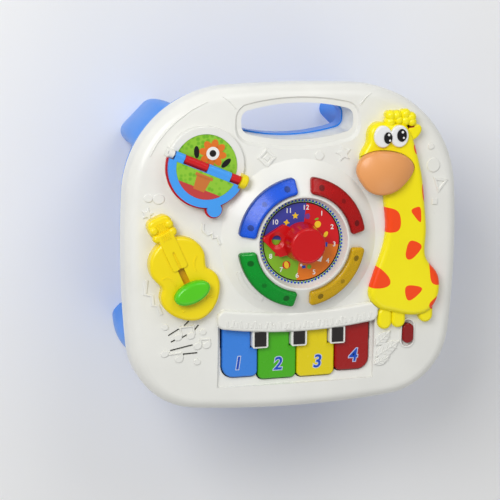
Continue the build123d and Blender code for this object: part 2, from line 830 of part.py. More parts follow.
def leg():
    """A plug-in leg: hollow and ribbed inside, with a collar and a plug on top."""
    hollow = leg_loft(leg_wall, leg_wall)
    for side in (-1, 1):
        x = side * leg_rib_share * leg_width
        hollow -= slab(x - leg_rib / 2, x + leg_rib / 2, -leg_depth, leg_depth, -cut_over, leg_height)
    column = leg_loft(0, 0) - hollow
    collar = RectangleRounded(leg_width + 2 * leg_collar_margin, leg_depth + 2 * leg_collar_margin,
                              leg_corner_radius + leg_collar_margin)
    collar = prism(collar, leg_height - leg_collar_height, leg_height)
    collar = fillet(collar.edges().group_by(Axis.Z)[0], leg_collar_margin)
    plug = prism(RectangleRounded(plug_width, plug_depth, plug_radius), leg_height, leg_height
                 + plug_height)
    plug = fillet(top_edges(plug), plug_radius / 2)
    return column + collar + plug


def lens(heading):
    """A light arc on the bezel's flank: a hollow ring segment with two screw bosses inside."""
    def arc_plan(inset):
        step = degrees(inset / lens_middle_radius)
        start = heading - lens_span / 2 + step
        end = heading + lens_span / 2 - step
        outer = lens_outer_radius - inset
        inner = lens_inner_radius + inset
        middle = (start + end) / 2
        return make_face([
            ThreePointArc(dial_point(outer, start), dial_point(outer, middle), dial_point(outer, end)),
            Line(dial_point(outer, end), dial_point(inner, end)),
            ThreePointArc(dial_point(inner, end), dial_point(inner, middle), dial_point(inner, start)),
            Line(dial_point(inner, start), dial_point(outer, start)),
        ])

    high = bezel_top + lens_height
    plan = fillet(arc_plan(0).vertices(), lens_corner_radius)
    body = prism(plan, bezel_low, high) & bezel_cone(lens_height, 0)
    body -= bezel_cone(lens_seat_gap, 0)
    crown = body.faces().filter_by(GeomType.CONE).sort_by(Axis.Z)[-1]
    body = fillet(crown.edges(), lens_edge_radius)
    hollow_plan = fillet(arc_plan(lens_wall).vertices(), lens_corner_radius - lens_wall / 2)
    hollow = prism(hollow_plan, bezel_low, high) & bezel_cone(lens_height - lens_wall, 0)
    screws = [dial_point(lens_middle_radius, heading + side * lens_screw_span / 2) for side in (-1, 1)]
    for x, y in screws:
        hollow -= post(x, y, bezel_low, high, lens_boss_radius)
    body -= hollow
    for x, y in screws:
        body -= post(x, y, bezel_low, lens_screw_top + lens_screw_gap / 2, screw_radius + screw_play)
    return body


def lens_leds():
    """One light-emitting diode under the middle of each light arc."""
    lamps = []
    for x, y in led_places:
        stem = post(x, y, lens_pad_height, lens_seat + led_rise, led_radius)
        cap = fillet(top_edges(stem), led_radius * 0.9)
        lamps.append(cap + post(x, y, lens_pad_height - led_flange, lens_pad_height, led_flange_radius))
    return lamps


def clock_hand():
    """The red hand: a kite pointer with a round window, a tall hollow knob and a spindle below."""
    low = dial_top + hand_lift
    points = [(along * hand_reach, across * hand_half_width) for along, across in hand_outline_shares]
    plan = fillet(make_face(Polyline(*points, close=True)).vertices(), hand_corner_radius)
    pointer = prism(plan, low, low + hand_pointer_height)
    pointer = fillet(top_edges(pointer), hand_corner_radius / 4)
    window_x = hand_window_share * hand_reach
    pointer -= post(window_x, 0, low - cut_over, low + cut_over, hand_window_radius)
    pointer -= Pos(window_x, 0, low + hand_pointer_height) * Cone(
        hand_window_radius, hand_dish_radius, hand_dish_depth, align=(Align.CENTER, Align.CENTER,
                                                                      Align.MAX))
    pointer = Pos(dial_x, dial_y) * Rot(0, 0, hand_heading) * pointer
    knob = Pos(dial_x, dial_y, low) * Cone(
        hand_knob_radius, hand_knob_top_radius, hand_knob_height, align=(Align.CENTER, Align.CENTER,
                                                                         Align.MIN))
    knob = fillet(top_edges(knob), hand_knob_edge_radius)
    room = Pos(dial_x, dial_y, low) * Cone(
        hand_knob_radius - hand_wall, hand_knob_top_radius - hand_wall, hand_knob_height - hand_wall,
        align=(Align.CENTER, Align.CENTER, Align.MIN))
    room -= post(dial_x, dial_y, low, low + hand_knob_height, spindle_radius)
    spindle = post(dial_x, dial_y, bush_low - fit_gap, low, spindle_radius)
    hand = pointer + knob - room + spindle
    return hand - post(dial_x, dial_y, bush_low - cut_over, low, screw_radius + screw_play)


def key_plan(index, inset):
    """A key's outline, drawn in by an inset: narrowed beside the tongues, round at its front corners."""
    first = index == 0
    last = index == key_count - 1
    left = -keys_half_width if first else (index - key_count / 2) * key_pitch
    right = keys_half_width if last else (index + 1 - key_count / 2) * key_pitch
    left += key_gap / 2 + inset
    right -= key_gap / 2 + inset
    front = key_front + inset
    if not first and not last:
        front -= key_middle_extra
    notch = tongue_front - tongue_play - inset
    front_plan = Pos(left, front) * Rectangle(right - left, notch - front, align=(Align.MIN, Align.MIN))
    near = [corner for corner in front_plan.vertices() if corner.Y < front + key_gap]
    outer = [corner for corner in near
             if (first and corner.X < left + key_gap) or (last and corner.X > right - key_gap)]
    inner = [corner for corner in near if corner not in outer]
    front_plan = fillet(inner, key_corner_radius - inset)
    if outer:
        outer_place = outer[0].center()
        ends = [corner for corner in front_plan.vertices()
                if (corner.center() - outer_place).length < key_gap]
        front_plan = fillet(ends, key_end_radius - inset)
    cut = tongue_width / 2 + tongue_play + inset
    rear_left = left if first else tongue_places[index - 1] + cut
    rear_right = right if last else tongue_places[index] - cut
    rear_plan = Pos(rear_left, notch) * Rectangle(
        rear_right - rear_left, pivot_y - notch, align=(Align.MIN, Align.MIN))
    return front_plan + rear_plan, rear_left, rear_right


def key_middle(index):
    """The middle of a key's width at its front."""
    left = max(-keys_half_width, (index - key_count / 2) * key_pitch)
    right = min(keys_half_width, (index + 1 - key_count / 2) * key_pitch)
    return (left + right) / 2


def key(index):
    """A piano key: a hollow cap hinged on the rod at its back, with a stub over its pad."""
    plan, left, right = key_plan(index, 0)
    cap = prism(plan, key_top - key_height, key_top)
    cap = fillet(top_edges(cap), key_edge_radius)
    hollow = prism(key_plan(index, key_wall)[0], key_top - key_height - key_wall, key_top - key_wall)
    middle = key_middle(index)
    hollow -= post(middle, key_stub_y, key_top - key_height - key_wall, key_top, key_stub_radius)
    cap -= hollow
    cap += post(middle, key_stub_y, key_top - key_stub_drop, key_top - key_wall / 2, key_stub_radius)
    sleeve = Pos(left, pivot_y, pivot_height) * Rot(0, 90, 0) * Cylinder(
        key_sleeve_radius, right - left, align=(Align.CENTER, Align.CENTER, Align.MIN))
    return cap + sleeve - pivot_rod(pivot_gap)


def pivot_rod(gap):
    """The steel rod through the keys, or the room that it needs."""
    reach = keys_half_width + end_bracket_width / 2 + gap
    return Pos(-reach, pivot_y, pivot_height) * Rot(0, 90, 0) * Cylinder(
        pivot_radius + gap, 2 * reach, align=(Align.CENTER, Align.CENTER, Align.MIN))


def key_board():
    """The narrow circuit board under the keys."""
    board = slab(-key_board_half_width, key_board_half_width, key_stub_y - key_board_depth / 2,
                 key_stub_y + key_board_depth / 2, key_board_top - key_board_thickness, key_board_top)
    for x, y in key_board_posts:
        board -= post(x, y, key_board_top - cut_over, key_board_top + cut_over, screw_radius
                      + screw_hole_gap)
    return board


def key_pads():
    """One rubber contact pad under each key."""
    pads = []
    for index in range(key_count):
        pads.append(Pos(key_middle(index), key_stub_y, key_board_top) * Cone(
            pad_radius, pad_radius / 2, pad_height, align=(Align.CENTER, Align.CENTER, Align.MIN)))
    return pads


def mirrored(points):
    """Points of a right-hand side, from bottom to top, carried round to the left-hand side."""
    return points + [(-x, y) for x, y in points[-2:0:-1]]


def guitar_body():
    """The hollow yellow guitar with its neck strip, head and tuning pegs."""
    unit = guitar_half_width
    low = rim_height - cut_over
    points = mirrored([(x * unit, y * unit) for x, y in guitar_outline_shares])
    body = prism(loop(points, 0), low, guitar_top)
    body = fillet(top_edges(body), guitar_edge_radius)
    head_plan = Pos(0, head_low_share * unit) * Rectangle(
        2 * head_half_width, (head_high_share - head_low_share) * unit, align=(Align.CENTER, Align.MIN))
    head = prism(fillet(head_plan.vertices(), head_corner_radius), low, guitar_top - head_drop)
    head = fillet(top_edges(head), head_edge_radius)
    neck_plan = Pos(0, neck_low_share * unit) * Rectangle(
        2 * neck_half_width, (neck_high_share - neck_low_share) * unit, align=(Align.CENTER, Align.MIN))
    neck_plan = fillet(neck_plan.vertices(), neck_half_width / 3)
    neck_plan -= Pos(0, neck_low_share * unit) * SlotOverall(
        2 * (neck_groove_share - neck_low_share) * unit, neck_groove_width, rotation=90)
    neck = prism(neck_plan, guitar_top - guitar_wall, guitar_top + neck_rise)
    neck = fillet(top_edges(neck), neck_rise / 3)
    throat = prism(Pos(0, guitar_outline_shares[-1][1] * unit) * Rectangle(
        2 * neck_half_width, 2 * head_corner_radius + neck_half_width), low, guitar_top - head_drop)
    shape = body + head + throat + neck
    for x, y in peg_shares:
        peg = post(x * unit, y * unit, guitar_top - head_drop - peg_radius, guitar_top - head_drop
                   + peg_rise, peg_radius)
        shape += fillet(top_edges(peg), peg_radius * 0.8)
    hollow = prism(loop(points, guitar_wall), low, guitar_top - guitar_wall)
    for share in guitar_screw_shares:
        hollow -= post(0, share * unit, low, guitar_top, boss_radius)
    shape -= hollow
    slot_low = slider_y - stem_length / 2 - fit_gap
    slot_high = slider_y + slider_travel + stem_length / 2 + fit_gap
    slot = Pos(0, (slot_low + slot_high) / 2) * Rectangle(slot_width, slot_high - slot_low)
    shape -= prism(slot, guitar_top - 2 * guitar_wall, guitar_top + cut_over)
    for share in guitar_screw_shares:
        shape -= post(0, share * unit, low, guitar_top - guitar_wall, screw_radius + screw_play)
    return guitar_frame * shape - ball(0)


def guitar_slider():
    """The green oval knob with the stem that runs in the guitar's slot."""
    low = guitar_top + slider_lift
    knob = prism(Pos(0, slider_y) * Ellipse(slider_half_length, slider_half_width), low, low
                 + slider_height)
    knob = fillet(top_edges(knob), slider_edge_radius)
    stem = Pos(0, slider_y) * Rectangle(stem_width, stem_length)
    knob += prism(stem, guitar_top - guitar_wall - fit_gap, low)
    return guitar_frame * knob


def slider_carriage():
    """The plate under the guitar's face that keeps the slider in its slot."""
    plate = Pos(0, slider_y) * Rectangle(carriage_width, carriage_length)
    high = guitar_top - guitar_wall - fit_gap
    return guitar_frame * prism(plate, high - carriage_thickness, high)


def slider_board():
    """The contact board that the slider's carriage passes over."""
    low, high = slider_board_ends
    length = high - low + 2 * slider_post_radius
    plan = Pos(0, (low + high) / 2) * Rectangle(slider_board_width, length)
    return guitar_frame * prism(plan, slider_board_top - slider_board_thickness, slider_board_top)


def giraffe_plan(inset):
    """The giraffe's outline, drawn in by an inset."""
    return loop([giraffe_point(shares) for shares in reversed(giraffe_outline_shares)], inset)


def giraffe_body():
    """The hollow yellow giraffe, open where its nose button stands."""
    low = rim_height - cut_over
    shape = prism(giraffe_plan(0), low, giraffe_top)
    shape = fillet(top_edges(shape), giraffe_edge_radius)
    for across, along, size in horn_lobe_shares:
        x, y = giraffe_point((across, along))
        radius = size * giraffe_width
        shape += Pos(x, y, giraffe_top - radius) * Sphere(radius)
        shape += post(x, y, low, giraffe_top - radius, radius * horn_stem_share)
    x, y = giraffe_point(ear_shares)
    ear = prism(Ellipse(ear_length / 2, ear_width / 2), low, giraffe_top - ear_drop)
    ear = fillet(top_edges(ear), ear_edge_radius)
    shape += Pos(x, y) * Rot(0, 0, ear_turn) * ear
    for shares in foot_shares:
        x, y = giraffe_point(shares)
        foot = prism(SlotOverall(foot_length, foot_width, rotation=90), low, giraffe_top - foot_drop)
        shape += Pos(x, y) * fillet(top_edges(foot), foot_edge_radius)
    hollow = prism(giraffe_plan(giraffe_wall), low, giraffe_top - giraffe_wall)
    for shares in giraffe_screw_shares:
        x, y = giraffe_point(shares)
        hollow -= post(x, y, low, giraffe_top, boss_radius)
    shape -= hollow
    nose_room = prism(muzzle_plan(-muzzle_gap), low, giraffe_top + cut_over)
    shape -= nose_room - ball(muzzle_curb)
    shape -= eye_shape(giraffe_top - eye_seat, giraffe_top + cut_over)
    for shares in giraffe_screw_shares:
        x, y = giraffe_point(shares)
        shape -= post(x, y, low, giraffe_top - giraffe_wall, screw_radius + screw_play)
    return shape - table_block(0, parting_height - cut_over)


def eye_shape(low, high):
    """The joined outline of both eyes, drawn up between two heights."""
    plan = Sketch()
    for shares, radii in zip(eye_shares, eye_radius_shares):
        plan += Pos(*giraffe_point(shares)) * Ellipse(radii[0] * giraffe_width, radii[1] * giraffe_width)
    return prism(plan, low, high)


def giraffe_eyes():
    """The white eye piece, sunk into the head, with seats for the pupils."""
    eyes = eye_shape(giraffe_top - eye_seat, giraffe_top + eye_height)
    eyes = fillet(top_edges(eyes), eye_edge_radius)
    for pupil in giraffe_pupils():
        eyes -= pupil
    return eyes


def giraffe_pupils():
    """The black oval pupils."""
    pupils = []
    for shares, radii in zip(pupil_shares, pupil_radius_shares):
        plan = Pos(*giraffe_point(shares)) * Ellipse(radii[0] * giraffe_width, radii[1] * giraffe_width)
        pupils.append(prism(plan, giraffe_top + eye_height - pupil_depth, giraffe_top + eye_height
                            + pupil_rise))
    return pupils


def muzzle_plan(inset):
    """The egg-shaped outline of the nose, drawn in by an inset."""
    return loop([giraffe_point(shares) for shares in reversed(muzzle_outline_shares)], inset)


def muzzle_block(inset):
    """The nose as a solid domed egg, drawn in on every side by an inset."""
    high = rim_height + muzzle_rise
    dome = Pos(muzzle_x, muzzle_y, high - muzzle_dome_radius) * Rot(90, 0,
                                                                    0) * Sphere(muzzle_dome_radius - inset)
    return prism(muzzle_plan(inset), rim_height - cut_over, high) & dome


def giraffe_muzzle():
    """The big peach nose: a domed button on a stem through the tabletop."""
    nose = muzzle_block(0)
    nose = fillet(nose.faces().sort_by(Axis.Z)[-1].edges(), muzzle_edge_radius)
    nose = nose - muzzle_block(muzzle_wall) - ball(muzzle_curb + muzzle_travel + muzzle_gap)
    stem_low = nose_board_top + nose_switch_height + nose_plunger_rise + muzzle_travel + fit_gap
    stem_high = rim_height + muzzle_rise - muzzle_wall / 2
    return nose + post(muzzle_x, muzzle_y, stem_low, stem_high, muzzle_stem_radius)


def nose_switch():
    """The push switch under the nose on its small board."""
    board = slab(muzzle_x - nose_board_length / 2, muzzle_x + nose_board_length / 2, muzzle_y
                 - nose_board_width / 2,
                 muzzle_y + nose_board_width / 2, nose_board_top - board_thickness, nose_board_top)
    half = nose_switch_size / 2
    board += slab(muzzle_x - half, muzzle_x + half, muzzle_y - half, muzzle_y + half, nose_board_top,
                  nose_board_top + nose_switch_height)
    high = nose_board_top + nose_switch_height + nose_plunger_rise
    return board + post(muzzle_x, muzzle_y, nose_board_top, high, nose_plunger_radius)


def book_base():
    """The white round base of the flip book with the ear that carries the rod's left end."""
    low = rim_height - cut_over
    base = post(0, 0, low, book_top, book_radius)
    base = fillet(top_edges(base), book_edge_radius)
    base -= post(0, 0, book_top - book_recess, book_top + cut_over, book_radius - book_rim)
    ear_right = -knuckle_reach() - knuckle_end_gap
    ear_left = ear_right - ear_block_width
    base += slab(ear_left, ear_right, -ear_block_half_depth, ear_block_half_depth, low, rod_height)
    base += Pos(ear_left, 0, rod_height) * Rot(0, 90, 0) * Cylinder(
        ear_block_half_depth, ear_block_width, align=(Align.CENTER, Align.CENTER, Align.MIN))
    base -= rod(rod_gap)
    base -= end_cap_block()
    for x_share, y_share in book_screw_shares:
        base -= post(x_share * book_radius, y_share * book_radius, low, book_top - book_recess,
                     screw_radius + screw_play)
    return book_frame * base - ball(0)


def knuckle_reach():
    """How far the knuckles reach to each side along the rod."""
    return knuckle_shares[-1] * book_radius


def rod(gap):
    """The steel rod of the book along its own x axis, or the room that it needs."""
    low = -knuckle_reach() - knuckle_end_gap - ear_block_width - gap
    high = knuckle_reach() + knuckle_end_gap + end_cap_width / 2 + gap
    return Pos(low, 0, rod_height) * Rot(0, 90, 0) * Cylinder(
        rod_radius + gap, high - low, align=(Align.CENTER, Align.CENTER, Align.MIN))


def end_cap_block():
    """The yellow cap as a solid block over the rod's right end."""
    left = knuckle_reach() + knuckle_end_gap
    cap = Pos(left, 0, rod_height) * Rot(0, 90, 0) * Cylinder(
        end_cap_radius, end_cap_width, align=(Align.CENTER, Align.CENTER, Align.MIN))
    right_rim = cap.edges().group_by(Axis.X)[-1]
    cap = fillet(right_rim, end_cap_edge_radius)
    return cap + slab(left, left + end_cap_width - end_cap_edge_radius, -end_cap_radius, end_cap_radius,
                      rim_height - cut_over, rod_height)


def book_end_cap():
    """The yellow end cap, standing on the tabletop and holding the rod's right end."""
    return book_frame * (end_cap_block() - rod(rod_gap)) - ball(0)


def page(first, level):
    """A half-round page with its own knuckles, lying above or below the rod's axis."""
    low = rod_height + (page_gap if level > 0 else -page_gap - page_thickness)
    clear = knuckle_radius + page_hinge_gap
    over = 0 if level > 0 else red_page_over
    half = Circle(book_radius + over) - Pos(0, -clear) * Rectangle(
        4 * book_radius, 2 * book_radius, align=(Align.CENTER, Align.MIN))
    half += Pos(page_tab_shares[0] * book_radius,
                page_tab_shares[1] * book_radius) * Circle(page_tab_radius + over)
    spans = [(knuckle_shares[index], knuckle_shares[index + 1]) for index in (first, first + 2)]
    for start, end in spans:
        left = start * book_radius + knuckle_end_gap
        right = end * book_radius - knuckle_end_gap
        half += Pos(left, -clear) * Rectangle(right - left, clear, align=(Align.MIN, Align.MIN))
    half -= Pos(knuckle_reach() - knuckle_end_gap, -end_cap_radius - page_hinge_gap) * Rectangle(
        book_radius, 2 * book_radius, align=(Align.MIN, Align.MIN))
    leaf = prism(half, low, low + page_thickness)
    face = low + page_thickness
    leaf -= prism(page_window(0), face - page_recess, face + cut_over)
    for start, end in spans:
        left = start * book_radius + knuckle_end_gap
        right = end * book_radius - knuckle_end_gap
        leaf += Pos(left, 0, rod_height) * Rot(0, 90, 0) * Cylinder(
            knuckle_radius, right - left, align=(Align.CENTER, Align.CENTER, Align.MIN))
    return leaf - rod(rod_gap)


def page_window(gap):
    """The half-round field of a page inside its rim, where its picture is."""
    field = Circle(book_radius - page_rim - gap)
    clear = knuckle_radius + page_field_gap + gap
    return field - Pos(0, -clear) * Rectangle(4 * book_radius, 2 * book_radius,
                                              align=(Align.CENTER, Align.MIN))


def page_picture(level):
    """The printed sheet in a page's field."""
    face = rod_height + (page_gap + page_thickness if level > 0 else -page_gap)
    return book_frame * prism(page_window(label_gap), face - page_recess, face - page_recess
                              + label_thickness)


def power_knob():
    """The red sliding knob of the power switch, in the middle of its pocket."""
    low = power_floor + power_play
    plan = RectangleRounded(power_pocket_width - 2 * power_play, power_knob_length, power_pocket_radius
                            - power_play)
    knob = prism(plan, low, low + power_knob_height)
    knob = fillet(top_edges(knob), power_edge_radius)
    knob += prism(Circle(power_stem_width / 2), switch_top - power_play, low)
    return Pos(power_x, power_y) * knob


def power_switch():
    """The slide switch under the tabletop that the knob works."""
    return slab(power_x - switch_width / 2, power_x + switch_width / 2, power_y - switch_length / 2,
                power_y + switch_length / 2, switch_top - switch_gap - switch_height,
                switch_top - power_play - switch_gap)


def speaker_basket():
    """The pressed frame of the speaker with its flange."""
    flange = post(speaker_x, speaker_y, speaker_seat - speaker_flange, speaker_seat, speaker_radius)
    low = speaker_seat - speaker_flange - speaker_depth
    cup = Pos(speaker_x, speaker_y, low) * Cone(
        basket_radius, speaker_radius - speaker_seat_wall, speaker_depth, align=(Align.CENTER,
                                                                                 Align.CENTER, Align.MIN))
    return flange + cup - cone_space(basket_wall)


def cone_space(thickness):
    """The flared space inside the basket, less a wall."""
    low = speaker_seat - speaker_flange - speaker_depth + thickness
    high = speaker_seat
    return Pos(speaker_x, speaker_y, low) * Cone(
        basket_radius - thickness, speaker_radius - speaker_seat_wall, high - low,
        align=(Align.CENTER, Align.CENTER, Align.MIN))


def speaker_cone():
    """The paper cone, lying in the basket."""
    return cone_space(basket_wall) - cone_space(basket_wall + cone_wall) - post(
        speaker_x, speaker_y, speaker_seat - cone_wall, speaker_seat + cut_over, speaker_radius)


def main_board():
    """The main circuit board, screwed to posts under the tabletop."""
    board = slab(board_x - board_width / 2, board_x + board_width / 2, board_y - board_depth / 2,
                 board_y + board_depth / 2, board_top - board_thickness, board_top)
    for x, y in board_posts:
        board -= post(x, y, board_top - cut_over, board_top + cut_over, screw_radius + screw_hole_gap)
    return board


def board_chips():
    """The parts soldered under the main board."""
    chips = []
    for x_share, y_share, width_share, depth_share in chip_shares:
        x = board_x + x_share * board_width / 2
        y = board_y + y_share * board_depth / 2
        width = width_share * board_width / 2
        depth = depth_share * board_depth / 2
        high = board_top - board_thickness
        chips.append(slab(x - width / 2, x + width / 2, y - depth / 2, y + depth / 2, high
                          - chip_height, high))
    return chips


def battery_cells():
    """Three cells side by side, turned about by turns."""
    cells = []
    for index in (-1, 0, 1):
        side = -1 if index == 0 else 1
        cell = Cylinder(cell_radius, cell_length, align=(Align.CENTER, Align.CENTER, Align.MIN))
        cell += Pos(0, 0, cell_length) * Cylinder(
            cell_nub_radius, cell_nub, align=(Align.CENTER, Align.CENTER, Align.MIN))
        cell = Rot(0, side * 90, 0) * cell
        start = battery_x - side * (cell_length + cell_nub) / 2
        cells.append(Pos(start, battery_y + index * cell_pitch, cell_height) * cell)
    return cells


def battery_contacts():
    """Sheet contacts at both ends of the cells, each with a bump that reaches its cell."""
    contacts = []
    for index in (-1, 0, 1):
        for side in (-1, 1):
            wall_x = side * battery_half_length
            plate_x = wall_x - side * contact_thickness
            cell_x = side * (cell_length + cell_nub) / 2
            y = battery_y + index * cell_pitch
            plate = slab(battery_x + min(wall_x, plate_x), battery_x + max(wall_x, plate_x), y
                         - contact_size / 2,
                         y + contact_size / 2, cell_height - contact_size / 2, cell_height + contact_size / 2)
            reach = abs(wall_x - cell_x)
            bump = Pos(battery_x + min(wall_x, cell_x), y, cell_height) * Rot(0, 90, 0) * Cylinder(
                contact_bump_radius, reach, align=(Align.CENTER, Align.CENTER, Align.MIN))
            contacts.append(plate + bump)
    return contacts


def battery_door():
    """The flat door of the battery box, flush with the underside."""
    length = door_half_length - door_gap
    width = door_half_width - door_gap
    door = slab(battery_x - length, battery_x + length, battery_y - width, battery_y + width,
                leg_height, leg_height + door_thickness)
    for side in (-1, 1):
        y = battery_y + side * door_screw_reach
        door -= post(battery_x, y, leg_height - cut_over, leg_height + cut_over, screw_radius
                     + screw_hole_gap)
        door -= post(battery_x, y, leg_height - cut_over, leg_height + door_thickness / 2,
                     screw_head_radius + screw_hole_gap)
    return door


def door_screws():
    """The two screws of the battery door."""
    seat = leg_height + door_thickness / 2
    head = door_thickness / 2 - fit_gap
    return [
        screw(battery_x, battery_y + side * door_screw_reach, seat, cell_radius, screw_radius,
              screw_head_radius, head)
        for side in (-1, 1)]


def case_screws():
    """The long screws that close the case from below."""
    seat = leg_height + case_head_depth
    length = case_joint + case_screw_grip - seat
    return [
        screw(x, y, seat, length, case_screw_radius, case_head_radius, case_head_height)
        for x, y in case_screw_places]


def figure_screws():
    """The short screws that hold the guitar, the giraffe and the book from below."""
    return [
        short_screw(x, y, pad_height_level, high - guitar_wall - fit_gap - pad_height_level)
        for (x, y), high in zip(figure_screw_places, figure_screw_tops)]


dial_plate = post(dial_x, dial_y, dial_top - dial_thickness, dial_top, dial_radius - fit_gap / 2) - post(
    dial_x, dial_y, dial_top - cut_over, dial_top + cut_over, spindle_radius + fit_gap)
hand_washer = post(dial_x, dial_y, bush_low - fit_gap - washer_thickness, bush_low - fit_gap,
                   washer_radius) - post(
    dial_x, dial_y, bush_low - cut_over, bush_low, screw_radius + screw_hole_gap)
magnet_top = speaker_seat - speaker_flange - speaker_depth
book_picture = post(0, 0, book_top - book_recess, book_top - book_recess + label_thickness,
                    book_radius - book_rim - label_gap)

nodes = {
    "top_shell": top_shell(),
    "bottom_shell": bottom_shell(),
    "giraffe_body": giraffe_body(),
    "giraffe_muzzle": giraffe_muzzle(),
    "giraffe_eyes": giraffe_eyes(),
    "giraffe_pupils": giraffe_pupils(),
    "nose_switch": nose_switch(),
    "guitar_body": guitar_body(),
    "guitar_slider": guitar_slider(),
    "slider_carriage": slider_carriage(),
    "slider_board": slider_board(),
    "dial_plate": dial_plate,
    "clock_hand": clock_hand(),
    "hand_washer": hand_washer,
    "hand_screw": short_screw(dial_x, dial_y, bush_low - fit_gap - washer_thickness, bush_drop),
    "lens_leds": lens_leds(),
    "lens_screws": [short_screw(x, y, lens_pad_height, lens_screw_top - lens_pad_height) for x,
                    y in lens_screw_places],
    "black_keys": [insert(x, insert_rise) for x in tongue_places],
    "key_pivot_rod": pivot_rod(0),
    "key_board": key_board(),
    "key_pads": key_pads(),
    "key_board_screws": [short_screw(x, y, key_board_top - key_board_thickness, 2 * boss_radius) for x,
                         y in key_board_posts],
    "main_board": main_board(),
    "board_chips": board_chips(),
    "main_board_screws": [short_screw(x, y, board_top - board_thickness, 2 * boss_radius) for x,
                          y in board_posts],
    "speaker_basket": speaker_basket(),
    "speaker_cone": speaker_cone(),
    "speaker_magnet": post(speaker_x, speaker_y, magnet_top - magnet_height, magnet_top, magnet_radius),
    "power_knob": power_knob(),
    "power_switch": power_switch(),
    "battery_door": battery_door(),
    "door_screws": door_screws(),
    "battery_cells": battery_cells(),
    "battery_contacts": battery_contacts(),
    "book_base": book_base(),
    "book_rod": book_frame * rod(0),
    "book_end_cap": book_end_cap(),
    "book_picture": book_frame * book_picture,
    "page_blue": book_frame * page(0, 1),
    "page_red": book_frame * page(1, -1),
    "page_blue_picture": page_picture(1),
    "page_red_picture": page_picture(-1),
    "case_screws": case_screws(),
    "figure_screws": figure_screws(),
}
for name, frame in leg_frames().items():
    nodes["leg_" + name] = frame * leg()
for name, heading in lens_headings.items():
    nodes["lens_" + name] = lens(heading)
for index, name in enumerate(key_names):
    nodes["key_" + name] = key(index)

os.makedirs("parts", exist_ok=True)
for name, shape in nodes.items():
    solids = shape if isinstance(shape, list) else [shape]
    export_step(Compound([solid for piece in solids for solid in piece.solids()]), f"parts/{name}.step")
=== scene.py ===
import math

import bmesh
import bpy
from mathutils import Matrix, Vector
from mathutils.bvhtree import BVHTree


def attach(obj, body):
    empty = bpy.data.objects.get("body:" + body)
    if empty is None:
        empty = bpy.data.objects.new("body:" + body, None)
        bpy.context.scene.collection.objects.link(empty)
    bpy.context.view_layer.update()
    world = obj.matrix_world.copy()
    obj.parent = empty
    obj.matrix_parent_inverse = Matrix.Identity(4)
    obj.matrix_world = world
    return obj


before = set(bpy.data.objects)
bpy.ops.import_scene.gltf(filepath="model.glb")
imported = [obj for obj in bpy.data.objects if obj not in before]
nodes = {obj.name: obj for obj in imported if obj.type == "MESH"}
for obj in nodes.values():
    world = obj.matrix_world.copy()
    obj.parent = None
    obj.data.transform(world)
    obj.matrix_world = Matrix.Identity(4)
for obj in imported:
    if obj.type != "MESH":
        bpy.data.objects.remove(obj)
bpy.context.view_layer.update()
bpy.context.scene.view_settings.view_transform = "Standard"

# Blue underside: the apron tray, the battery door and the four plug-in legs are moulded from one
# bright blue plastic with a soft gloss. The moulding leaves a fine grain and faint flow marks.


def paint(red, green, blue):
    """A colour read off a swatch, 0 to 255, as Blender's own linear value."""
    steps = [value / 255 for value in (red, green, blue)]
    return [step / 12.92 if step <= 0.04045 else ((step + 0.055) / 1.055) ** 2.4 for step in steps] + [1.0]


def new_material(name):
    """An empty node material with its shader, its tree and its Object coordinates."""
    material = bpy.data.materials.new(name)
    material.use_nodes = True
    tree = material.node_tree
    shader = tree.nodes["Principled BSDF"]
    place = tree.nodes.new("ShaderNodeTexCoord").outputs["Object"]
    return material, tree, shader, place


def noise_of(tree, place, scale, detail):
    """A noise pattern on the piece's own coordinates, counted per metre."""
    noise = tree.nodes.new("ShaderNodeTexNoise")
    noise.inputs["Scale"].default_value = scale
    noise.inputs["Detail"].default_value = detail
    tree.links.new(place, noise.inputs["Vector"])
    return noise.outputs["Fac"]


def spread(tree, value, low, high):
    """A value between 0 and 1 spread over a range."""
    node = tree.nodes.new("ShaderNodeMapRange")
    node.inputs["To Min"].default_value = low
    node.inputs["To Max"].default_value = high
    tree.links.new(value, node.inputs["Value"])
    return node.outputs["Result"]


def mixed(tree, share, first, second):
    """Two colours, or a colour and a link, mixed by a share."""
    node = tree.nodes.new("ShaderNodeMix")
    node.data_type = "RGBA"
    tree.links.new(share, node.inputs["Factor"])
    for socket, colour in ((node.inputs["A"], first), (node.inputs["B"], second)):
        if isinstance(colour, bpy.types.NodeSocket):
            tree.links.new(colour, socket)
        else:
            socket.default_value = colour
    return node.outputs["Result"]


def moulding(tree, shader, place, gloss, grain):
    """The skin of a moulded piece: uneven gloss and a fine grain."""
    sheen = spread(tree, noise_of(tree, place, 60, 3), gloss - 0.05, gloss + 0.07)
    tree.links.new(sheen, shader.inputs["Roughness"])
    bump = tree.nodes.new("ShaderNodeBump")
    bump.inputs["Strength"].default_value = grain
    bump.inputs["Distance"].default_value = 0.0002
    tree.links.new(noise_of(tree, place, 1400, 2), bump.inputs["Height"])
    tree.links.new(bump.outputs["Normal"], shader.inputs["Normal"])
    shader.inputs["Specular IOR Level"].default_value = 0.35
    shader.inputs["Coat Weight"].default_value = 0.12
    shader.inputs["Coat Roughness"].default_value = 0.12


def moulded_plastic(name, colour, gloss=0.32, grain=0.12):
    """Moulded plastic, a touch lighter and darker where it flowed into the mould."""
    material, tree, shader, place = new_material(name)
    dark = [value * 0.93 for value in colour[:3]] + [1.0]
    light = [min(1.0, value * 1.05) for value in colour[:3]] + [1.0]
    tree.links.new(mixed(tree, noise_of(tree, place, 22, 4), dark, light), shader.inputs["Base Color"])
    moulding(tree, shader, place, gloss, grain)
    return material


def dress(material, *names):
    """Gives carried-over pieces their material."""
    for name in names:
        nodes[name].data.materials.clear()
        nodes[name].data.materials.append(material)


case_blue = moulded_plastic("case_blue", paint(38, 138, 240))
dress(case_blue, "bottom_shell", "battery_door")
dress(case_blue, "leg_front_left", "leg_front_right", "leg_rear_left", "leg_rear_right")

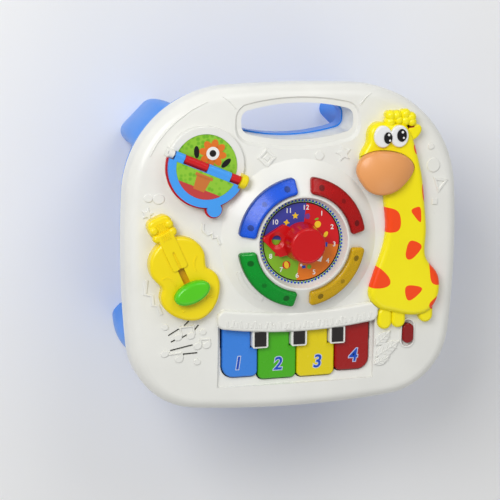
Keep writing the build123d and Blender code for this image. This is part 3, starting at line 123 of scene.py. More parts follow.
# Power and sound parts inside the case: cells, sheet contacts, circuit boards with their chips,
# rubber key pads, a small speaker with a paper cone, and plated steel screws and rods.


def worn_metal(name, colour, gloss):
    """Plated metal with fine drawn marks."""
    material, tree, shader, place = new_material(name)
    shader.inputs["Metallic"].default_value = 1.0
    dark = [value * 0.8 for value in colour[:3]] + [1.0]
    tree.links.new(mixed(tree, noise_of(tree, place, 700, 4), dark, colour), shader.inputs["Base Color"])
    sheen = spread(tree, noise_of(tree, place, 300, 3), gloss - 0.08, gloss + 0.1)
    tree.links.new(sheen, shader.inputs["Roughness"])
    return material


steel = worn_metal("plated_steel", paint(190, 190, 194), gloss=0.3)
dress(steel, "key_pivot_rod", "book_rod", "hand_washer", "hand_screw", "lens_screws", "key_board_screws")
dress(steel, "main_board_screws", "door_screws", "case_screws", "figure_screws")
dress(steel, "speaker_basket", "speaker_magnet")
dress(worn_metal("contact_metal", paint(215, 212, 205), gloss=0.2), "battery_contacts")
board_green = moulded_plastic("circuit_board_green", paint(22, 92, 48), gloss=0.45)
dress(board_green, "main_board", "key_board", "nose_switch")
dress(moulded_plastic("chip_black", paint(28, 28, 30), gloss=0.5), "board_chips", "power_switch")
dress(moulded_plastic("pad_rubber_grey", paint(198, 198, 194), gloss=0.7), "key_pads")
dress(moulded_plastic("cone_paper_black", paint(30, 30, 30), gloss=0.8, grain=0.5), "speaker_cone")
dress(moulded_plastic("cell_wrap", paint(62, 66, 74), gloss=0.35), "battery_cells")
dress(moulded_plastic("led_clear", paint(238, 238, 232), gloss=0.12, grain=0.02), "lens_leds")

# White tabletop: one moulded shell with its dial bezel, handle opening, key well and ledge. Small
# shapes stand a little proud of the face as play relief; they are moulded in one with it.
shell_white = moulded_plastic("shell_white", paint(236, 236, 230), gloss=0.3, grain=0.1)
dress(shell_white, "top_shell")


def top_of(name):
    """The height of a carried-over piece's upper face over a place."""
    mesh = nodes[name].data
    corners = [vertex.co for vertex in mesh.vertices]
    skin = BVHTree.FromPolygons(corners, [face.vertices for face in mesh.polygons])
    above = 1.0

    def height(x, y):
        hit = skin.ray_cast(Vector((x, y, above)), Vector((0, 0, -1)))[0]
        return hit.z if hit else None
    return height


def linked_piece(name, work):
    """A worked mesh as an object of the scene."""
    mesh = bpy.data.meshes.new(name)
    work.to_mesh(mesh)
    work.free()
    piece = bpy.data.objects.new(name, mesh)
    bpy.context.scene.collection.objects.link(piece)
    return piece


def finish_piece(piece, material, body):
    """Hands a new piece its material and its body."""
    piece.data.materials.append(material)
    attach(piece, body)
    return piece


def raised(name, outlines, carrier, rise, edge, sink=0.0006):
    """Flat shapes that stand proud of a carrier, with a rounded upper edge."""
    work = bmesh.new()
    for outline in outlines:
        low = work.faces.new([work.verts.new((x, y, 0)) for x, y in outline])
        grown = bmesh.ops.extrude_face_region(work, geom=[low], use_keep_orig=True)["geom"]
        lifted = [item for item in grown if isinstance(item, bmesh.types.BMVert)]
        bmesh.ops.translate(work, verts=lifted, vec=(0, 0, rise + sink))
        if edge:
            lids = [item for item in grown if isinstance(item, bmesh.types.BMFace)]
            rims = list({side for lid in lids for side in lid.edges})
            bmesh.ops.bevel(work, geom=rims, offset=edge, segments=3, profile=0.5, affect="EDGES")
    bmesh.ops.triangulate(work, faces=[face for face in work.faces if len(face.verts) > 4])
    bmesh.ops.recalc_face_normals(work, faces=work.faces[:])
    for vertex in work.verts:
        vertex.co.z += carrier(vertex.co.x, vertex.co.y) - sink
    return linked_piece(name, work)


def placed(points, x, y, turn):
    """An outline turned about its origin and moved to a place."""
    spin = math.radians(turn)
    moved = []
    for along, across in points:
        moved_x = x + along * math.cos(spin) - across * math.sin(spin)
        moved_y = y + along * math.sin(spin) + across * math.cos(spin)
        moved.append((moved_x, moved_y))
    return moved


def round_outline(x, y, wide, tall, turn=0.0, count=28):
    """A circle or an ellipse as an outline."""
    angles = [2 * math.pi * index / count for index in range(count)]
    points = [(wide / 2 * math.cos(angle), tall / 2 * math.sin(angle)) for angle in angles]
    return placed(points, x, y, turn)


def star_outline(x, y, radius, waist, points=5, turn=90.0):
    """A star, or with a waist of 1 an even polygon."""
    corners = []
    for index in range(2 * points):
        angle = math.radians(turn + 180 * index / points)
        reach = radius if index % 2 == 0 else radius * waist
        corners.append((x + reach * math.cos(angle), y + reach * math.sin(angle)))
    return corners


def stroke_outline(points, width):
    """A bent stroke of even width along points."""
    left, right = [], []
    for index, (x, y) in enumerate(points):
        before = points[max(0, index - 1)]
        after = points[min(len(points) - 1, index + 1)]
        along = Vector((after[0] - before[0], after[1] - before[1])).normalized()
        side = Vector((-along.y, along.x)) * width / 2
        left.append((x + side.x, y + side.y))
        right.append((x - side.x, y - side.y))
    return left + right[::-1]


def framed(outline, x, y, share):
    """The sides of an outline as a frame of short strokes around a centre."""
    inner = [(x + (px - x) * share, y + (py - y) * share) for px, py in outline]
    sides = []
    for index in range(len(outline)):
        after = (index + 1) % len(outline)
        sides.append([outline[index], outline[after], inner[after], inner[index]])
    return sides


def leaf_outline(root, tip, width):
    """A leaf from its root to its tip."""
    start, along = Vector(root), Vector(tip) - Vector(root)
    side = Vector((-along.y, along.x)).normalized() * width / 2
    fullness = 0.8
    shares = [step / 9 for step in range(10)]
    left = [start + along * share + side * math.sin(math.pi * share ** fullness) for share in shares]
    back = shares[8:0:-1]
    right = [start + along * share - side * math.sin(math.pi * share ** fullness) for share in back]
    return [tuple(point) for point in left + right]


def leaf_veins(root, tip, width):
    """The midrib and side veins of a leaf as strokes."""
    start, along = Vector(root), Vector(tip) - Vector(root)
    side = Vector((-along.y, along.x)).normalized() * width / 2
    midrib_share, midrib_width = 0.9, 0.0009
    along_share, side_share, vein_width = 0.16, 0.62, 0.0007
    veins = [stroke_outline([tuple(start), tuple(start + along * midrib_share)], midrib_width)]
    for share in (0.22, 0.42, 0.62):
        for turn in (-1, 1):
            begin = start + along * share
            end = begin + along * along_share + side * turn * side_share
            veins.append(stroke_outline([tuple(begin), tuple(end)], vein_width))
    return veins


table_face = top_of("top_shell")
half_width, half_depth = 0.150, 0.143
dome_radius, dome_crown = 1.41025, 0.192
slot_drop = 0.004


def on_face(x, y):
    """The height of the tabletop's face over a place, carried on across its slots."""
    dome = dome_crown - dome_radius + math.sqrt(dome_radius ** 2 - x ** 2 - y ** 2)
    hit = table_face(x, y)
    return hit if hit and hit > dome - slot_drop else dome


relief_rise, relief_edge = 0.0012, 0.0005
right_zigzag = ((-0.0846, 0.0272), (-0.0848, 0.0215), (-0.0808, 0.0175), (-0.077, 0.019),
                (-0.0762, 0.0148), (-0.0724, 0.0155), (-0.0699, 0.0087))
left_zigzag = ((-0.1334, -0.020), (-0.1347, -0.0324), (-0.1285, -0.0336), (-0.1278, -0.0424),
               (-0.1236, -0.0427), (-0.1207, -0.0508))
square_x, square_y = -0.0288, 0.082
triangle_x, triangle_y = 0.131, 0.0534
relief = [
    star_outline(0.040, 0.0834, 0.0075, 0.45, 5, 100),
    star_outline(square_x, square_y, 0.003, 0.71, 4, 92),
    round_outline(0.018, 0.0824, 0.008, 0.008),
    round_outline(0.1221, 0.0864, 0.0055, 0.0055),
    round_outline(0.1244, 0.0698, 0.0123, 0.0123),
    star_outline(0.126, 0.0374, 0.0036, 0.71, 4, 45),
    star_outline(-0.132, 0.037, 0.0055, 0.5, 5, 80),
    round_outline(-0.1311, 0.0503, 0.0075, 0.0065),
    round_outline(-0.1225, 0.0495, 0.010, 0.0085),
    stroke_outline(right_zigzag, 0.0022),
    stroke_outline(left_zigzag, 0.003),
]
relief += framed(star_outline(square_x, square_y, 0.0085, 0.71, 4, 92)[::2], square_x, square_y, 0.62)
relief += framed(star_outline(triangle_x, triangle_y, 0.0085, 0.5, 3, 20)[::2], triangle_x, triangle_y, 0.5)
note_heads = ((-0.1064, -0.0714), (-0.0953, -0.0706), (-0.0892, -0.0802), (-0.0813, -0.0797),
              (-0.1178, -0.0859), (-0.1052, -0.0913))
note_head_width, note_head_height, note_head_turn = 0.007, 0.0058, 25
relief += [round_outline(x, y, note_head_width, note_head_height, note_head_turn) for x, y in note_heads]
pips = ((-0.0849, -0.0677), (-0.0895, -0.0944), (-0.1176, -0.0619))
pip_width, pip_height = 0.0058, 0.0054
relief += [round_outline(x, y, pip_width, pip_height) for x, y in pips]
note_stems = (
    ((-0.1031, -0.0705), (-0.1046, -0.0629)),
    ((-0.0922, -0.0698), (-0.0932, -0.0621)),
    ((-0.1051, -0.0628), (-0.0927, -0.0620)),
    ((-0.0861, -0.0794), (-0.0869, -0.0742)),
    ((-0.0783, -0.0788), (-0.0790, -0.0742)),
    ((-0.0873, -0.0742), (-0.0785, -0.0742)),
    ((-0.1148, -0.0862), (-0.1145, -0.0838)),
    ((-0.1022, -0.0905), (-0.1030, -0.0858)),
    ((-0.1146, -0.0866), (-0.1030, -0.0853)))
note_stem_width = 0.0016
relief += [stroke_outline(ends, note_stem_width) for ends in note_stems]
power_x, power_y = 0.688 * half_width, -0.563 * half_depth
power_frame_radius, power_frame_straight, power_frame_width = 0.0064, 0.0066, 0.0016
power_frame = []
for step in range(41):
    angle = math.radians(91 + step * 358 / 40)
    straight = math.copysign(power_frame_straight, math.sin(angle))
    edge_x = power_x + power_frame_radius * math.cos(angle)
    edge_y = power_y + power_frame_radius * math.sin(angle) + straight
    power_frame.append((edge_x, edge_y))
relief.append(stroke_outline(power_frame, power_frame_width))
face_relief = raised("face_relief", relief, on_face, relief_rise, relief_edge)
finish_piece(face_relief, shell_white, "table")
leaves = (
    ((0.0725, -0.0892), (0.0865, -0.0768), 0.0105),
    ((0.0735, -0.0998), (0.0955, -0.0872), 0.0125),
    ((0.0725, -0.1068), (0.087, -0.1003), 0.0088))
leaf_rise, vein_rise, vein_edge = 0.0017, 0.0006, 0.0002
leaf_shapes = [leaf_outline(*leaf) for leaf in leaves]
face_leaves = raised("face_leaves", leaf_shapes, on_face, leaf_rise, relief_edge)
finish_piece(face_leaves, shell_white, "table")
vein_shapes = [vein for leaf in leaves for vein in leaf_veins(*leaf)]
face_veins = raised("face_leaf_veins", vein_shapes, on_face, leaf_rise + vein_rise, vein_edge)
finish_piece(face_veins, shell_white, "table")
crease_lines = (
    ((-0.129, 0.0857), (-0.1232, 0.096), (-0.1149, 0.1062), (-0.1059, 0.1148), (-0.0927, 0.1241),
     (-0.0794, 0.1305)),
    ((-0.0661, 0.1345), (-0.0603, 0.1305), (-0.0553, 0.1243)),
    ((0.0661, 0.1345), (0.0603, 0.1305), (0.0553, 0.1243)))
crease_width, crease_rise, crease_edge = 0.0009, 0.0009, 0.0003
creases = [stroke_outline(line, crease_width) for line in crease_lines]
lobe_middle_y, lobe_width = 0.0095, 0.0036
lobe = []
for heading, radius in ((204, 0.0605), (212, 0.0615), (220, 0.0618), (228, 0.0615), (236, 0.0605)):
    angle = math.radians(heading)
    lobe.append((radius * math.cos(angle), lobe_middle_y + radius * math.sin(angle)))
creases.append(stroke_outline(lobe, lobe_width))
face_creases = raised("face_creases", creases, on_face, crease_rise, crease_edge)
finish_piece(face_creases, shell_white, "table")
ledge_end_y, ledge_bow, ledge_half_width = -0.0590, 0.0063, 0.073
pleat_count, pleat_start_x, pleat_pitch = 31, -0.0645, 0.0043
pleat_width, pleat_rise, pleat_edge = 0.0024, 0.0005, 0.0005
pleat_drop, pleat_reach, pleat_reach_swing, pleat_lean_swing = 0.0028, 0.0028, 0.0012, 0.0016
pleats = []
for step in range(pleat_count):
    x = pleat_start_x + pleat_pitch * step
    y = ledge_end_y - ledge_bow * (1 - (x / ledge_half_width) ** 2)
    lean = pleat_lean_swing * math.sin(step * 1.7)
    reach = pleat_reach + pleat_reach_swing * math.sin(step * 2.4)
    pleats.append(stroke_outline([(x, y - pleat_drop), (x + lean, y + reach)], pleat_width))
ledge_pleats = raised("ledge_pleats", pleats, on_face, pleat_rise, pleat_edge)
finish_piece(ledge_pleats, shell_white, "table")

# Dial: a printed plate sunk in the bezel. Four coloured quarters with hour numbers and plain
# shapes lie inside a black line, and a white border carries small blue and green squares.
dial_x, dial_y = 0.0, 0.0664 * half_depth
dial_turn = 7.0
dial_print_radius = 0.0337
dial_line_radius = 0.0349


def worked(tree, operation, first, second=0.0, third=0.0):
    """One step of arithmetic in a material."""
    node = tree.nodes.new("ShaderNodeMath")
    node.operation = operation
    for socket, value in zip(node.inputs, (first, second, third)):
        if isinstance(value, bpy.types.NodeSocket):
            tree.links.new(value, socket)
        else:
            socket.default_value = value
    return node.outputs["Value"]


def centred(tree, place, x, y, turn):
    """Coordinates counted from a centre, turned about it."""
    shift = tree.nodes.new("ShaderNodeVectorMath")
    shift.operation = "SUBTRACT"
    shift.inputs[1].default_value = (x, y, 0)
    tree.links.new(place, shift.inputs[0])
    spin = tree.nodes.new("ShaderNodeVectorRotate")
    spin.rotation_type = "Z_AXIS"
    spin.inputs["Angle"].default_value = math.radians(turn)
    tree.links.new(shift.outputs["Vector"], spin.inputs["Vector"])
    parts = tree.nodes.new("ShaderNodeSeparateXYZ")
    tree.links.new(spin.outputs["Vector"], parts.inputs["Vector"])
    return parts.outputs["X"], parts.outputs["Y"]


def far_from_centre(tree, x, y):
    """The distance of a place from the centre of its coordinates."""
    squares = worked(tree, "MULTIPLY", x, x), worked(tree, "MULTIPLY", y, y)
    return worked(tree, "SQRT", worked(tree, "ADD", *squares))


dial_print, tree, shader, place = new_material("dial_print")
x, y = centred(tree, place, dial_x, dial_y, dial_turn)
right_half = worked(tree, "GREATER_THAN", x, 0.0)
upper_half = worked(tree, "GREATER_THAN", y, 0.0)
upper = mixed(tree, right_half, paint(62, 66, 160), paint(205, 18, 26))
lower = mixed(tree, right_half, paint(128, 182, 36), paint(224, 120, 30))
quarters = mixed(tree, upper_half, lower, upper)
reach = far_from_centre(tree, x, y)
lined = mixed(tree, worked(tree, "GREATER_THAN", reach, dial_print_radius), quarters, paint(12, 12, 14))
bordered = mixed(tree, worked(tree, "GREATER_THAN", reach, dial_line_radius), lined, paint(232, 234, 228))
tree.links.new(bordered, shader.inputs["Base Color"])
moulding(tree, shader, place, gloss=0.3, grain=0.04)
dress(dial_print, "dial_plate")
dial_face = top_of("dial_plate")
print_rise = 0.00012


def printed_ink(name, colour):
    """A layer of print: even ink with a slight sheen."""
    return moulded_plastic(name, colour, gloss=0.35, grain=0.04)


def dial_spot(radius, heading):
    """A place on the dial."""
    angle = math.radians(heading)
    return dial_x + radius * math.cos(angle), dial_y + radius * math.sin(angle)


def border_squares(name, ink, count, radius, side, turn):
    """Small printed squares around the dial, made by a node tree."""
    group = bpy.data.node_groups.new(name, "GeometryNodeTree")
    sockets = {}
    for label in ("Count", "Radius", "Side", "Turn"):
        kind = "NodeSocketInt" if label == "Count" else "NodeSocketFloat"
        sockets[label] = group.interface.new_socket(label, in_out="INPUT", socket_type=kind).identifier
    group.interface.new_socket("Geometry", in_out="OUTPUT", socket_type="NodeSocketGeometry")
    entry = group.nodes.new("NodeGroupInput")
    ring = group.nodes.new("GeometryNodeMeshCircle")
    group.links.new(entry.outputs["Count"], ring.inputs["Vertices"])
    group.links.new(entry.outputs["Radius"], ring.inputs["Radius"])
    square = group.nodes.new("GeometryNodeMeshCube")
    size = group.nodes.new("ShaderNodeCombineXYZ")
    group.links.new(entry.outputs["Side"], size.inputs["X"])
    group.links.new(entry.outputs["Side"], size.inputs["Y"])
    size.inputs["Z"].default_value = 2 * print_rise
    group.links.new(size.outputs["Vector"], square.inputs["Size"])
    spot = group.nodes.new("GeometryNodeInputPosition")
    aim = group.nodes.new("FunctionNodeAlignRotationToVector")
    aim.axis = "X"
    group.links.new(spot.outputs["Position"], aim.inputs["Vector"])
    copies = group.nodes.new("GeometryNodeInstanceOnPoints")
    group.links.new(ring.outputs["Mesh"], copies.inputs["Points"])
    group.links.new(square.outputs["Mesh"], copies.inputs["Instance"])
    group.links.new(aim.outputs["Rotation"], copies.inputs["Rotation"])
    spin = group.nodes.new("ShaderNodeCombineXYZ")
    group.links.new(entry.outputs["Turn"], spin.inputs["Z"])
    move = group.nodes.new("GeometryNodeTransform")
    move.inputs["Translation"].default_value = (dial_x, dial_y, dial_face(dial_x, dial_y + radius))
    group.links.new(copies.outputs["Instances"], move.inputs["Geometry"])
    turned = group.nodes.new("FunctionNodeEulerToRotation")
    group.links.new(spin.outputs["Vector"], turned.inputs["Euler"])
    group.links.new(turned.outputs["Rotation"], move.inputs["Rotation"])
    real = group.nodes.new("GeometryNodeRealizeInstances")
    group.links.new(move.outputs["Geometry"], real.inputs["Geometry"])
    coat = group.nodes.new("GeometryNodeSetMaterial")
    coat.inputs["Material"].default_value = ink
    group.links.new(real.outputs["Geometry"], coat.inputs["Geometry"])
    leave = group.nodes.new("NodeGroupOutput")
    group.links.new(coat.outputs["Geometry"], leave.inputs["Geometry"])
    holder = bpy.data.objects.new(name, bpy.data.meshes.new(name))
    bpy.context.scene.collection.objects.link(holder)
    maker = holder.modifiers.new(name, "NODES")
    maker.node_group = group
    for label, value in (("Count", count), ("Radius", radius), ("Side", side), ("Turn", math.radians(turn))):
        maker[sockets[label]] = value
    bpy.context.view_layer.update()
    made = bpy.data.meshes.new_from_object(holder.evaluated_get(bpy.context.evaluated_depsgraph_get()))
    holder.modifiers.remove(maker)
    holder.data = made
    holder.data.name = name
    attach(holder, "table")


ink_white = printed_ink("ink_white", paint(240, 240, 236))
ink_blue = printed_ink("ink_blue", paint(14, 74, 188))
ink_green = printed_ink("ink_green", paint(110, 180, 40))
ink_yellow = printed_ink("ink_yellow", paint(245, 205, 40))
ink_red = printed_ink("ink_red", paint(205, 30, 30))
ink_orange = printed_ink("ink_orange", paint(228, 118, 36))
ink_violet = printed_ink("ink_violet", paint(120, 60, 140))
ink_black = printed_ink("ink_black", paint(22, 18, 18))
border_count, green_turn = 73, 2.47
border_squares("dial_border_blue", ink_blue, border_count, radius=0.0361, side=0.0017, turn=0.0)
border_squares("dial_border_green", ink_green, border_count, radius=0.0356, side=0.0012, turn=green_turn)


def lettering(name, words, carrier, rise, swell=0.0):
    """Numbers laid on a carrier as one thin mesh: each is its text, place, height and slant."""
    work = bmesh.new()
    size_per_height, weight_share, merge_distance = 1.4, 0.02, 1e-7
    for text, x, y, tall, slant in words:
        curve = bpy.data.curves.new(name, "FONT")
        curve.body = text
        curve.size = tall * size_per_height
        curve.align_x = "CENTER"
        curve.align_y = "CENTER"
        curve.offset = tall * weight_share + swell
        curve.shear = slant
        curve.extrude = rise / 2
        holder = bpy.data.objects.new(name, curve)
        bpy.context.scene.collection.objects.link(holder)
        bpy.context.view_layer.update()
        flat = bpy.data.meshes.new_from_object(holder.evaluated_get(bpy.context.evaluated_depsgraph_get()))
        bpy.data.objects.remove(holder)
        flat.transform(Matrix.Translation((x, y, carrier(x, y) + rise / 2)))
        work.from_mesh(flat)
        bpy.data.meshes.remove(flat)
    bmesh.ops.remove_doubles(work, verts=work.verts[:], dist=merge_distance)
    return linked_piece(name, work)


hour_radius, hour_height = 0.0298, 0.0042
hours = []
for hour in range(1, 13):
    hour_x, hour_y = dial_spot(hour_radius, 90 - dial_turn - 30 * hour)
    hours.append((str(hour), hour_x, hour_y, hour_height, 0.0))
finish_piece(lettering("dial_hours", hours, dial_face, 2 * print_rise), ink_white, "table")
ring_spot = dial_spot(0.0238, -124)
dial_shapes = (
    ("dial_stars", ink_yellow, [
        star_outline(*dial_spot(0.0235, 104), 0.0031, 0.5, 5, 90),
        star_outline(*dial_spot(0.022, 128), 0.0029, 0.5, 4, 80)]),
    ("dial_hexagons", ink_violet, [
        star_outline(*dial_spot(0.0225, 77), 0.0028, 0.87, 3, 60)]),
    ("dial_discs", ink_yellow, [
        round_outline(*dial_spot(0.0205, 45), 0.0058, 0.0058),
        round_outline(*dial_spot(0.0225, 14), 0.0055, 0.0034, 60)]),
    ("dial_leaves", ink_green, [
        round_outline(*dial_spot(0.0235, 55), 0.0036, 0.0016, 20),
        round_outline(*dial_spot(0.0235, -72), 0.0038, 0.0038)]),
    ("dial_bars", ink_blue, [
        stroke_outline([dial_spot(0.0225, -14), dial_spot(0.0225, -4)], 0.0026),
        stroke_outline([dial_spot(0.0225, -80), dial_spot(0.0225, -88)], 0.0024)]),
    ("dial_tiles", ink_white, [
        star_outline(*dial_spot(0.0225, -44), 0.0034, 0.71, 4, 30),
        round_outline(*dial_spot(0.0205, -90), 0.0022, 0.0022)]),
    ("dial_rings", ink_red, [
        round_outline(*ring_spot, 0.0072, 0.0072),
        round_outline(*dial_spot(0.0235, 205), 0.0052, 0.0034, 20)]))


def printed(name, outlines, carrier, layer, ink, body):
    """Flat printed shapes on a carrier, in a layer counted from the sheet up."""
    print_sink = 0.0001
    shapes = raised(name, outlines, carrier, layer * print_rise, 0.0, print_sink)
    finish_piece(shapes, ink, body)


for name, ink, outlines in dial_shapes:
    printed(name, outlines, dial_face, 1, ink, "table")
printed("dial_ring_fill", [round_outline(*ring_spot, 0.0042, 0.0064, 15)], dial_face, 2, ink_yellow, "table")

# Clock hand: a red pointer with a round window and a thick knob, moulded in one. Its spindle turns
# in the bezel and a screw and washer hold it from below.
hand_red = moulded_plastic("hand_red", paint(205, 14, 20), gloss=0.24, grain=0.06)
dress(hand_red, "clock_hand")

# Light arcs: four hollow tinted caps over small lamps, on the white bezel. Painted shade darkens each
# cap towards its rims and in spots over the lamp and the two screw posts below it.
cap_middle_radius, cap_half_width = 0.04975, 0.0074
cap_post_turn, cap_post_radius, cap_lamp_radius = 27, 0.0026, 0.0021


def tinted_cap(name, colour, heading):
    """Clear tinted plastic with painted shade, darker towards its rims and over its lamp and two screw
    posts.
    """
    material, tree, shader, place = new_material(name)
    dark = [value * 0.8 for value in colour[:3]] + [1.0]
    # Painted shade colours: a lighter one for the lamp spot, a deeper one for the rims and the screw posts.
    lamp_shade = [value * 0.55 for value in colour[:3]] + [1.0]
    deep_shade = [value * 0.35 for value in colour[:3]] + [1.0]
    tint = mixed(tree, noise_of(tree, place, 90, 3), dark, colour)
    reach = far_from_centre(tree, *centred(tree, place, dial_x, dial_y, 0.0))
    aside = worked(tree, "ABSOLUTE", worked(tree, "SUBTRACT", reach, cap_middle_radius))
    # Painted shade: the tint darkens towards both rims of the cap.
    rim_shade = worked(tree, "POWER", worked(tree, "DIVIDE", aside, cap_half_width), 5.0)
    tint = mixed(tree, rim_shade, tint, deep_shade)
    # Painted shade: darker spots over the lamp and the two screw posts below the cap.
    shaded_spots_below = (
        (-cap_post_turn, cap_post_radius, deep_shade),
        (0, cap_lamp_radius, lamp_shade),
        (cap_post_turn, cap_post_radius, deep_shade))
    for turn, radius, shade_below in shaded_spots_below:
        below_x, below_y = dial_spot(cap_middle_radius, heading + turn)
        reach = far_from_centre(tree, *centred(tree, place, below_x, below_y, 0.0))
        tint = mixed(tree, worked(tree, "LESS_THAN", reach, radius), tint, shade_below)
    tree.links.new(tint, shader.inputs["Base Color"])
    sheen = spread(tree, noise_of(tree, place, 200, 2), 0.24, 0.3)
    tree.links.new(sheen, shader.inputs["Roughness"])
    shader.inputs["Transmission Weight"].default_value = 0.25
    shader.inputs["IOR"].default_value = 1.49
    shader.inputs["Specular IOR Level"].default_value = 0.25
    shader.inputs["Coat Weight"].default_value = 0.08
    shader.inputs["Coat Roughness"].default_value = 0.06
    return material


dress(tinted_cap("cap_blue", paint(24, 104, 255), heading=135), "lens_blue")
dress(tinted_cap("cap_red", paint(206, 12, 14), heading=45), "lens_red")
dress(tinted_cap("cap_green", paint(4, 180, 54), heading=225), "lens_green")
dress(tinted_cap("cap_amber", paint(255, 206, 6), heading=315), "lens_amber")

# Flip book: a round white base with a picture, and two half-round pages that turn on a steel rod
# between a white ear and a yellow end cap. The pages' pictures lie in a frame.
dress(moulded_plastic("page_blue", paint(72, 162, 246), gloss=0.28, grain=0.06), "page_blue")
dress(moulded_plastic("page_red", paint(208, 18, 26), gloss=0.28, grain=0.06), "page_red")
dress(moulded_plastic("end_cap_yellow", paint(245, 222, 20), gloss=0.28, grain=0.06), "book_end_cap")
dress(shell_white, "book_base")
book_x, book_y, book_turn = -0.553 * half_width, 0.536 * half_depth, -22.9
no_floor, floor_level = -1.0, -0.0185


def picture_ground(name, ground_level):
    """A printed green field with darker dots, and a red floor below a level."""
    material, tree, shader, place = new_material(name)
    dots = tree.nodes.new("ShaderNodeTexVoronoi")
    dots.inputs["Scale"].default_value = 230
    dots.inputs["Randomness"].default_value = 0.75
    tree.links.new(place, dots.inputs["Vector"])
    near = tree.nodes.new("ShaderNodeMapRange")
    near.inputs["From Min"].default_value = 0.25
    near.inputs["From Max"].default_value = 0.5
    tree.links.new(dots.outputs["Distance"], near.inputs["Value"])
    field = mixed(tree, near.outputs["Result"], paint(112, 182, 40), paint(146, 202, 56))
    x, y = centred(tree, place, book_x, book_y, -book_turn)
    floor = worked(tree, "LESS_THAN", y, ground_level)
    tree.links.new(mixed(tree, floor, field, paint(198, 66, 64)), shader.inputs["Base Color"])
    moulding(tree, shader, place, gloss=0.3, grain=0.05)
    return material


dress(picture_ground("picture_field", no_floor), "book_picture")
dress(picture_ground("picture_floor", floor_level), "page_blue_picture", "page_red_picture")


def on_book(points):
    """An outline on the book, along and across its rod."""
    return placed(points, book_x, book_y, book_turn)


picture = top_of("book_picture")
flower_x, flower_y, petal_reach = 0.0015, 0.0125, 0.0078
petal_length, petal_width = 0.0086, 0.0062
petals = []
for index in range(8):
    angle = 45 * index + 10
    petal_x = flower_x + petal_reach * math.cos(math.radians(angle))
    petal_y = flower_y + petal_reach * math.sin(math.radians(angle))
    petals.append(on_book(round_outline(petal_x, petal_y, petal_length, petal_width, angle)))
printed("flower_petals", petals, picture, 1, ink_orange, "table")
leaf_length, leaf_width = 0.0105, 0.0046
flower_leaves = [
    on_book(round_outline(-0.012, 0.0085, leaf_length, leaf_width, 115)),
    on_book(round_outline(0.0155, 0.009, leaf_length, leaf_width, 65))]
printed("flower_leaves", flower_leaves, picture, 1, ink_black, "table")
flower_ring_size, flower_heart_size = 0.0112, 0.0058
flower_ring = [on_book(round_outline(flower_x, flower_y, flower_ring_size, flower_ring_size))]
printed("flower_ring", flower_ring, picture, 2, ink_white, "table")
flower_heart = [on_book(round_outline(flower_x, flower_y, flower_heart_size, flower_heart_size))]
printed("flower_heart", flower_heart, picture, 3, ink_black, "table")
page_face = top_of("page_blue_picture")
pot = [
    on_book([(-0.0065, -0.0085), (0.0065, -0.0085), (0.005, -0.0205), (-0.005, -0.0205)]),
    on_book([(-0.008, -0.0065), (0.008, -0.0065), (0.008, -0.0092), (-0.008, -0.0092)])]
ink_clay = printed_ink("ink_clay", paint(205, 118, 54))
printed("flower_pot", pot, page_face, 1, ink_clay, "page_blue")

# Guitar: a hollow yellow body with a neck strip, head and pegs, screwed down from below. Its curls
# and string lines are moulded in, and a green slider runs in the slot.
guitar_yellow = moulded_plastic("guitar_yellow", paint(248, 222, 14), gloss=0.3, grain=0.08)
dress(guitar_yellow, "guitar_body")
dress(moulded_plastic("slider_green", paint(88, 208, 30), gloss=0.2, grain=0.05), "guitar_slider")
carriage_amber = moulded_plastic("carriage_amber", paint(244, 186, 20), gloss=0.4, grain=0.1)
dress(carriage_amber, "slider_carriage", "slider_board")
guitar_x, guitar_y, guitar_turn = -0.647 * half_width, -0.21 * half_depth, 24.0


def on_guitar(points):
    """An outline on the guitar, across and along its neck."""
    return placed(points, guitar_x, guitar_y, guitar_turn)


guitar_face = top_of("guitar_body")
left_curl = ((-0.0185, 0.0214), (-0.0147, 0.0219), (-0.0113, 0.0195), (-0.0097, 0.015), (-0.0099, 0.0113))
right_curl = ((0.017, 0.0268), (0.0135, 0.024), (0.0117, 0.0203), (0.0115, 0.0153))
left_fold = ((-0.0134, -0.0125), (-0.0096, -0.0112))
right_fold = ((0.0096, -0.0104), (0.0167, -0.0117))
curl_width, curl_rise, curl_edge = 0.0013, 0.0005, 0.0002
curl_lines = (left_curl, right_curl, left_fold, right_fold)
curls = [on_guitar(stroke_outline(line, curl_width)) for line in curl_lines]
guitar_curls = raised("guitar_curls", curls, guitar_face, curl_rise, curl_edge)
finish_piece(guitar_curls, guitar_yellow, "table")
string_width, string_rise, string_edge = 0.0011, 0.0009, 0.0003
string_lines = []
for across in (-0.003, -0.001, 0.001, 0.003):
    for low, high in ((0.0512, 0.0564), (0.0582, 0.0660)):
        string_lines.append(on_guitar(stroke_outline([(across, low), (across, high)], string_width)))
guitar_strings = raised("guitar_string_lines", string_lines, guitar_face, string_rise, string_edge)
finish_piece(guitar_strings, guitar_yellow, "table")

# Giraffe: a hollow yellow figure screwed down from below, with orange spots painted on its coat, brown
# painted shade in the groove between a horn and the ear, a peach nose button, white eyes and black pupils
# with two bright dots.
giraffe_x, giraffe_y = 0.34 * half_width, -0.522 * half_depth
giraffe_width, giraffe_length, hair_start_y = 0.0794, 0.1967, 0.1105
giraffe_coat, tree, shader, place = new_material("giraffe_coat")
spot_corners = (
    ((66, 15), (91, 13), (90, 33), (66, 36.4)),
    ((99.5, 32.6), (110.2, 19), (108.9, 35.8)),
    ((95.2, -11), (99.8, -13.8), (113, 0.3), (99.3, 6.6)),
    ((55, -32.8), (77, -38.6), (88, -34), (81, -22), (62, -11.2)),
    ((95.6, -34.2), (98.8, -51), (115.5, -37.6)),
    ((118.6, -13), (121, -35.4), (136, -36), (136, -18)),
    ((117.2, -54), (125, -60.5), (136, -50), (130, -44)),
    ((112.4, 38), (121, 38), (121, 55.5), (110.4, 55.5), (109.9, 46)),
    ((103.4, 81), (112, 81), (112, 90), (101.4, 90)))
# Painted shade: a brown mark in the groove between a horn and the ear.
groove_shade_corners = ((103.1, 104.8), (102.6, 106.5), (97.3, 105.4), (95.6, 103.4))
spot_rounding, groove_shade_rounding, spot_swell_share = 0.6, 0.2, 0.05


